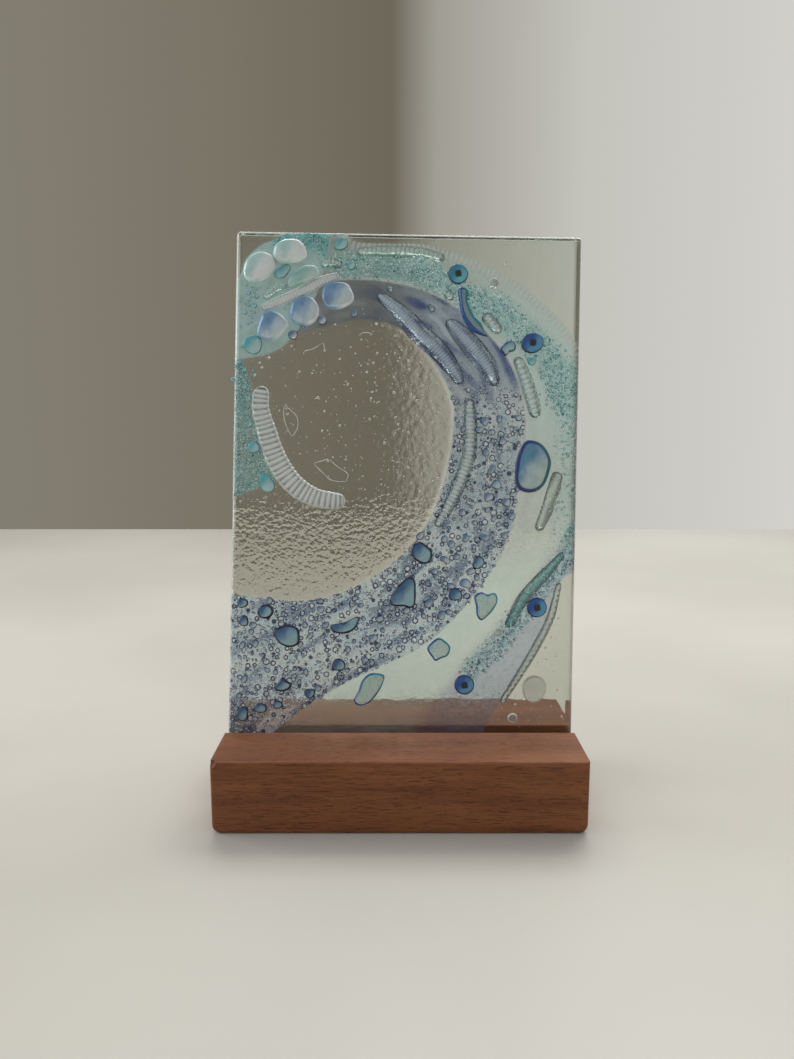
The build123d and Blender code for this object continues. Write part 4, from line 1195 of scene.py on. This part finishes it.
# The second colour of each ribbed glass is painted shade for the hollows between its ribs; the rod glass also
# paints a shadow along one side.
white = ribbed_glass("white_ribs", (236, 244, 238), (150, 178, 182), 0.8)
foam = ribbed_glass("foam_ribs", (255, 255, 252), (112, 140, 138), 0.9, brim=1.0)
ridge = ribbed_glass("ridge_ribs", (206, 222, 232), (46, 78, 138), 0.75)
reeded = ribbed_glass("reeded_glass", (224, 238, 230), (130, 186, 182), 0.65)
rod = ribbed_glass("rod_glass", (224, 230, 220), (190, 202, 192), 0.3, shadow=0.4)
streak = ribbed_glass("streak_glass", (120, 204, 196), (96, 176, 170), 0.5)
thread = ribbed_glass("thread_glass", (232, 230, 216), (220, 218, 206), 0.9)

strip_piece(
    "crest_frost_strip", CREST_FROST, [2.2, 3.0, 3.2, 3.2, 2.6], 0.5, 0.9, 0.3, foam, "white_glass",
    shoulder=4,
)
strip_piece("crest_rib_left", CREST_RIB_LEFT, [2.4, 2.9, 2.9], 0.9, 0.85, 0.45, reeded, "white_glass")
strip_piece("crest_rib_right", CREST_RIB_RIGHT, [2.6, 2.8, 2.4], 0.9, 0.95, 0.45, reeded, "white_glass")
strip_piece("hem_rib_strip", HEM_RIB, [2.4, 3.4, 3.4, 2.6], 0.6, 1.35, 0.4, reeded, "reeded_glass", fall=1.4)
strip_piece("divider_rib_top", DIVIDER_TOP, [3.4], 0.5, 1.1, 0.4, white, "reeded_glass", fall=1.8)
strip_piece("divider_rib_middle", DIVIDER_MIDDLE, [3.6], 0.5, 1.3, 0.4, white, "reeded_glass", fall=1.8)
strip_piece(
    "divider_rib_lower", DIVIDER_LOWER, [3.0, 3.8, 4.2, 4.2, 3.4], 0.5, 1.5, 0.45, white, "reeded_glass",
    fall=1.8,
)
strip_piece(
    "ridge_rod_left", RIDGE_LEFT, [2.6, 5.0, 6.2, 6.2, 5.4, 3.0], 0.4, 0.85, 0.35, ridge, "white_glass",
    fall=2.2,
)
strip_piece(
    "ridge_rod_right", RIDGE_RIGHT, [3.0, 6.0, 6.6, 6.0, 3.0], 0.4, 0.85, 0.35, ridge, "white_glass",
    fall=2.2,
)
strip_piece(
    "inner_rib_rod", INNER_RIB, [3.0, 4.2, 4.4, 4.4, 3.8, 2.4], 0.5, 1.2, 0.45, white, "reeded_glass",
    fall=1.9,
)
strip_piece("shoulder_rod", SHOULDER_ROD, [3.4, 3.8, 3.6, 2.6], 0.6, 0, 0, rod, "clear_glass", fall=1.6)
strip_piece(
    "lower_rib_strip", LOWER_RIB, [1.8, 2.4, 2.6, 2.4, 1.8], 0.5, 1.7, 0.5, rod, "reeded_glass", fall=1.7
)
strip_piece("teal_streak", TEAL_STREAK, [1.8, 3.4, 3.6, 2.4], 0.3, 0, 0, streak, "teal_glass", fall=2.2)
strip_piece(
    "foam_tail", FOAM_MIDDLE, [4.6, 5.2, 5.8, 6.2, 6.4, 6.0, 5.4, 4.8], 0.9, 1.5, 0.5, foam, "white_glass",
    shoulder=5, fall=0.8,
)
strip_piece(
    "tail_drop", TAIL_ROUTE, [3.4, 2.4, 3.4, 3.8, 0.6], 0.9, 0, 0, clear_core, "teal_drop_glass", shoulder=3
)

pebble_group("white_nuggets", WHITE_NUGGETS, 2.6, frost, "white_glass", crown=2.8, rim=1.2)
pebble_group("blue_nuggets", BLUE_NUGGETS, 2.6, ice, "crest_glass", crown=2.8, rim=1.0)
pebble_group("green_nugget", GREEN_NUGGET, 2.2, moss, "crest_glass", crown=2.6)
pebble_group("blue_drops", BLUE_DROPS, 1.2, blue, "drop_glass", DROP_SIZE, 4, crown=2.6, rim=1.0)
pebble_group("teal_drops", CLEAR_DROPS, 1.0, clear_core, "teal_drop_glass", crown=2.6, rim=0.8)
pebble_group("long_drop", LONG_DROP, 1.3, great, "drop_glass", crown=2.8, rim=1.6, sides=56, rings=28)
eyes = pebble_group("eye_dots", EYES, 1.0, eye_blue, "teal_drop_glass", EYE_SIZE, crown=3.0, rim=0.8)
eyes.data.materials.append(eye_aqua)
for face in eyes.data.polygons[:len(eyes.data.polygons) // len(EYES)]:
    face.material_index = 1
pebble_group(
    "eye_cores", [(*eye[:2], 0.32, 0.32, 8) for eye in EYES], 1.2, core, "core_glass", EYE_SIZE, corner=4.5,
    crown=9, sides=24, rings=16,
)
pebble_group("keyhole_drop", KEYHOLE_DROP, 1.0, great, "teal_drop_glass", rim=0.8)
pebble_group("small_blue_drops", SMALL_BLUE_DROPS, 0.8, blue, "drop_glass", BEAD_SIZE, 8, 0.06, 2.2, rim=0.6)
pebble_group("royal_dots", ROYAL_DOTS, 0.8, navy, "drop_glass", BEAD_SIZE, 9, 0.03, rim=0.6)
pebble_group("teal_beads", TEAL_BEADS, 0.8, aqua, "teal_drop_glass", BEAD_SIZE, 10, 0.05, rim=0.7)
pebble_group("clear_beads", CLEAR_BEADS, 0.9, pebble, "clear_glass", BEAD_SIZE, 11, 0.03)
pebble_group(
    "blue_seeds", BLUE_SEEDS, 0.7, navy, "drop_glass", BEAD_SIZE, 12, 0.10, 2.4, sides=20, rings=10, rim=0.6
)

bead_row("crest_frit", CREST_FRIT, 90, 0.8, (0.4, 1.1), 31, aqua)
bead_row("margin_frit", MARGIN_FRIT, 160, 1.2, (0.3, 0.9), 32, aqua)
bead_row("hem_frit", HEM_FRIT, 120, 1.4, (0.25, 0.6), 33, sea)
bead_row("band_frit", BAND_FRIT, 120, 1.6, (0.25, 0.6), 34, sea)
bead_row("edge_frit", EDGE_FRIT, 120, 1.6, (0.25, 0.7), 35, sea)

marks_piece("barrel_threads", BARREL_MARKS, thread)
marks_piece("face_threads", FACE_MARKS, thread)


def blue_density(bands):
    low = 1 - fade(bands.rise, 0.58, 0.70)
    return bands.blue * (0.06 + 0.9 * low)


def teal_density(bands):
    froth = 0.7 * np.clip(bands.upper_froth + 0.5 * bands.edge_froth, 0, 1) * bands.outer
    low_froth = 0.6 * bands.lower_froth * np.clip(bands.outer + bands.mist, 0, 1)
    return froth + low_froth + 0.9 * bands.margin + bands.crest * (0.20 + 0.75 * bands.crest_froth)


# Where the small domes go whose pale colour is a painted highlight on the hammered glass.
def seed_glint_density(bands):
    barrel = bands.barrel * (0.35 + 0.65 * fade(bands.reach, -0.2, 0.1))
    return barrel + 0.25 * bands.lower_corner * bands.lower


scatter_bubbles("navy_bubbles", 8000, 21, blue_density, (0.24, 1.05), navy, 1.6)
scatter_bubbles("teal_bubbles", 14000, 22, teal_density, (0.20, 0.50), sea, 1.2)
scatter_bubbles("barrel_glint_seeds", 4200, 23, seed_glint_density, (0.14, 0.40), seed_glint_glass, 1.4)
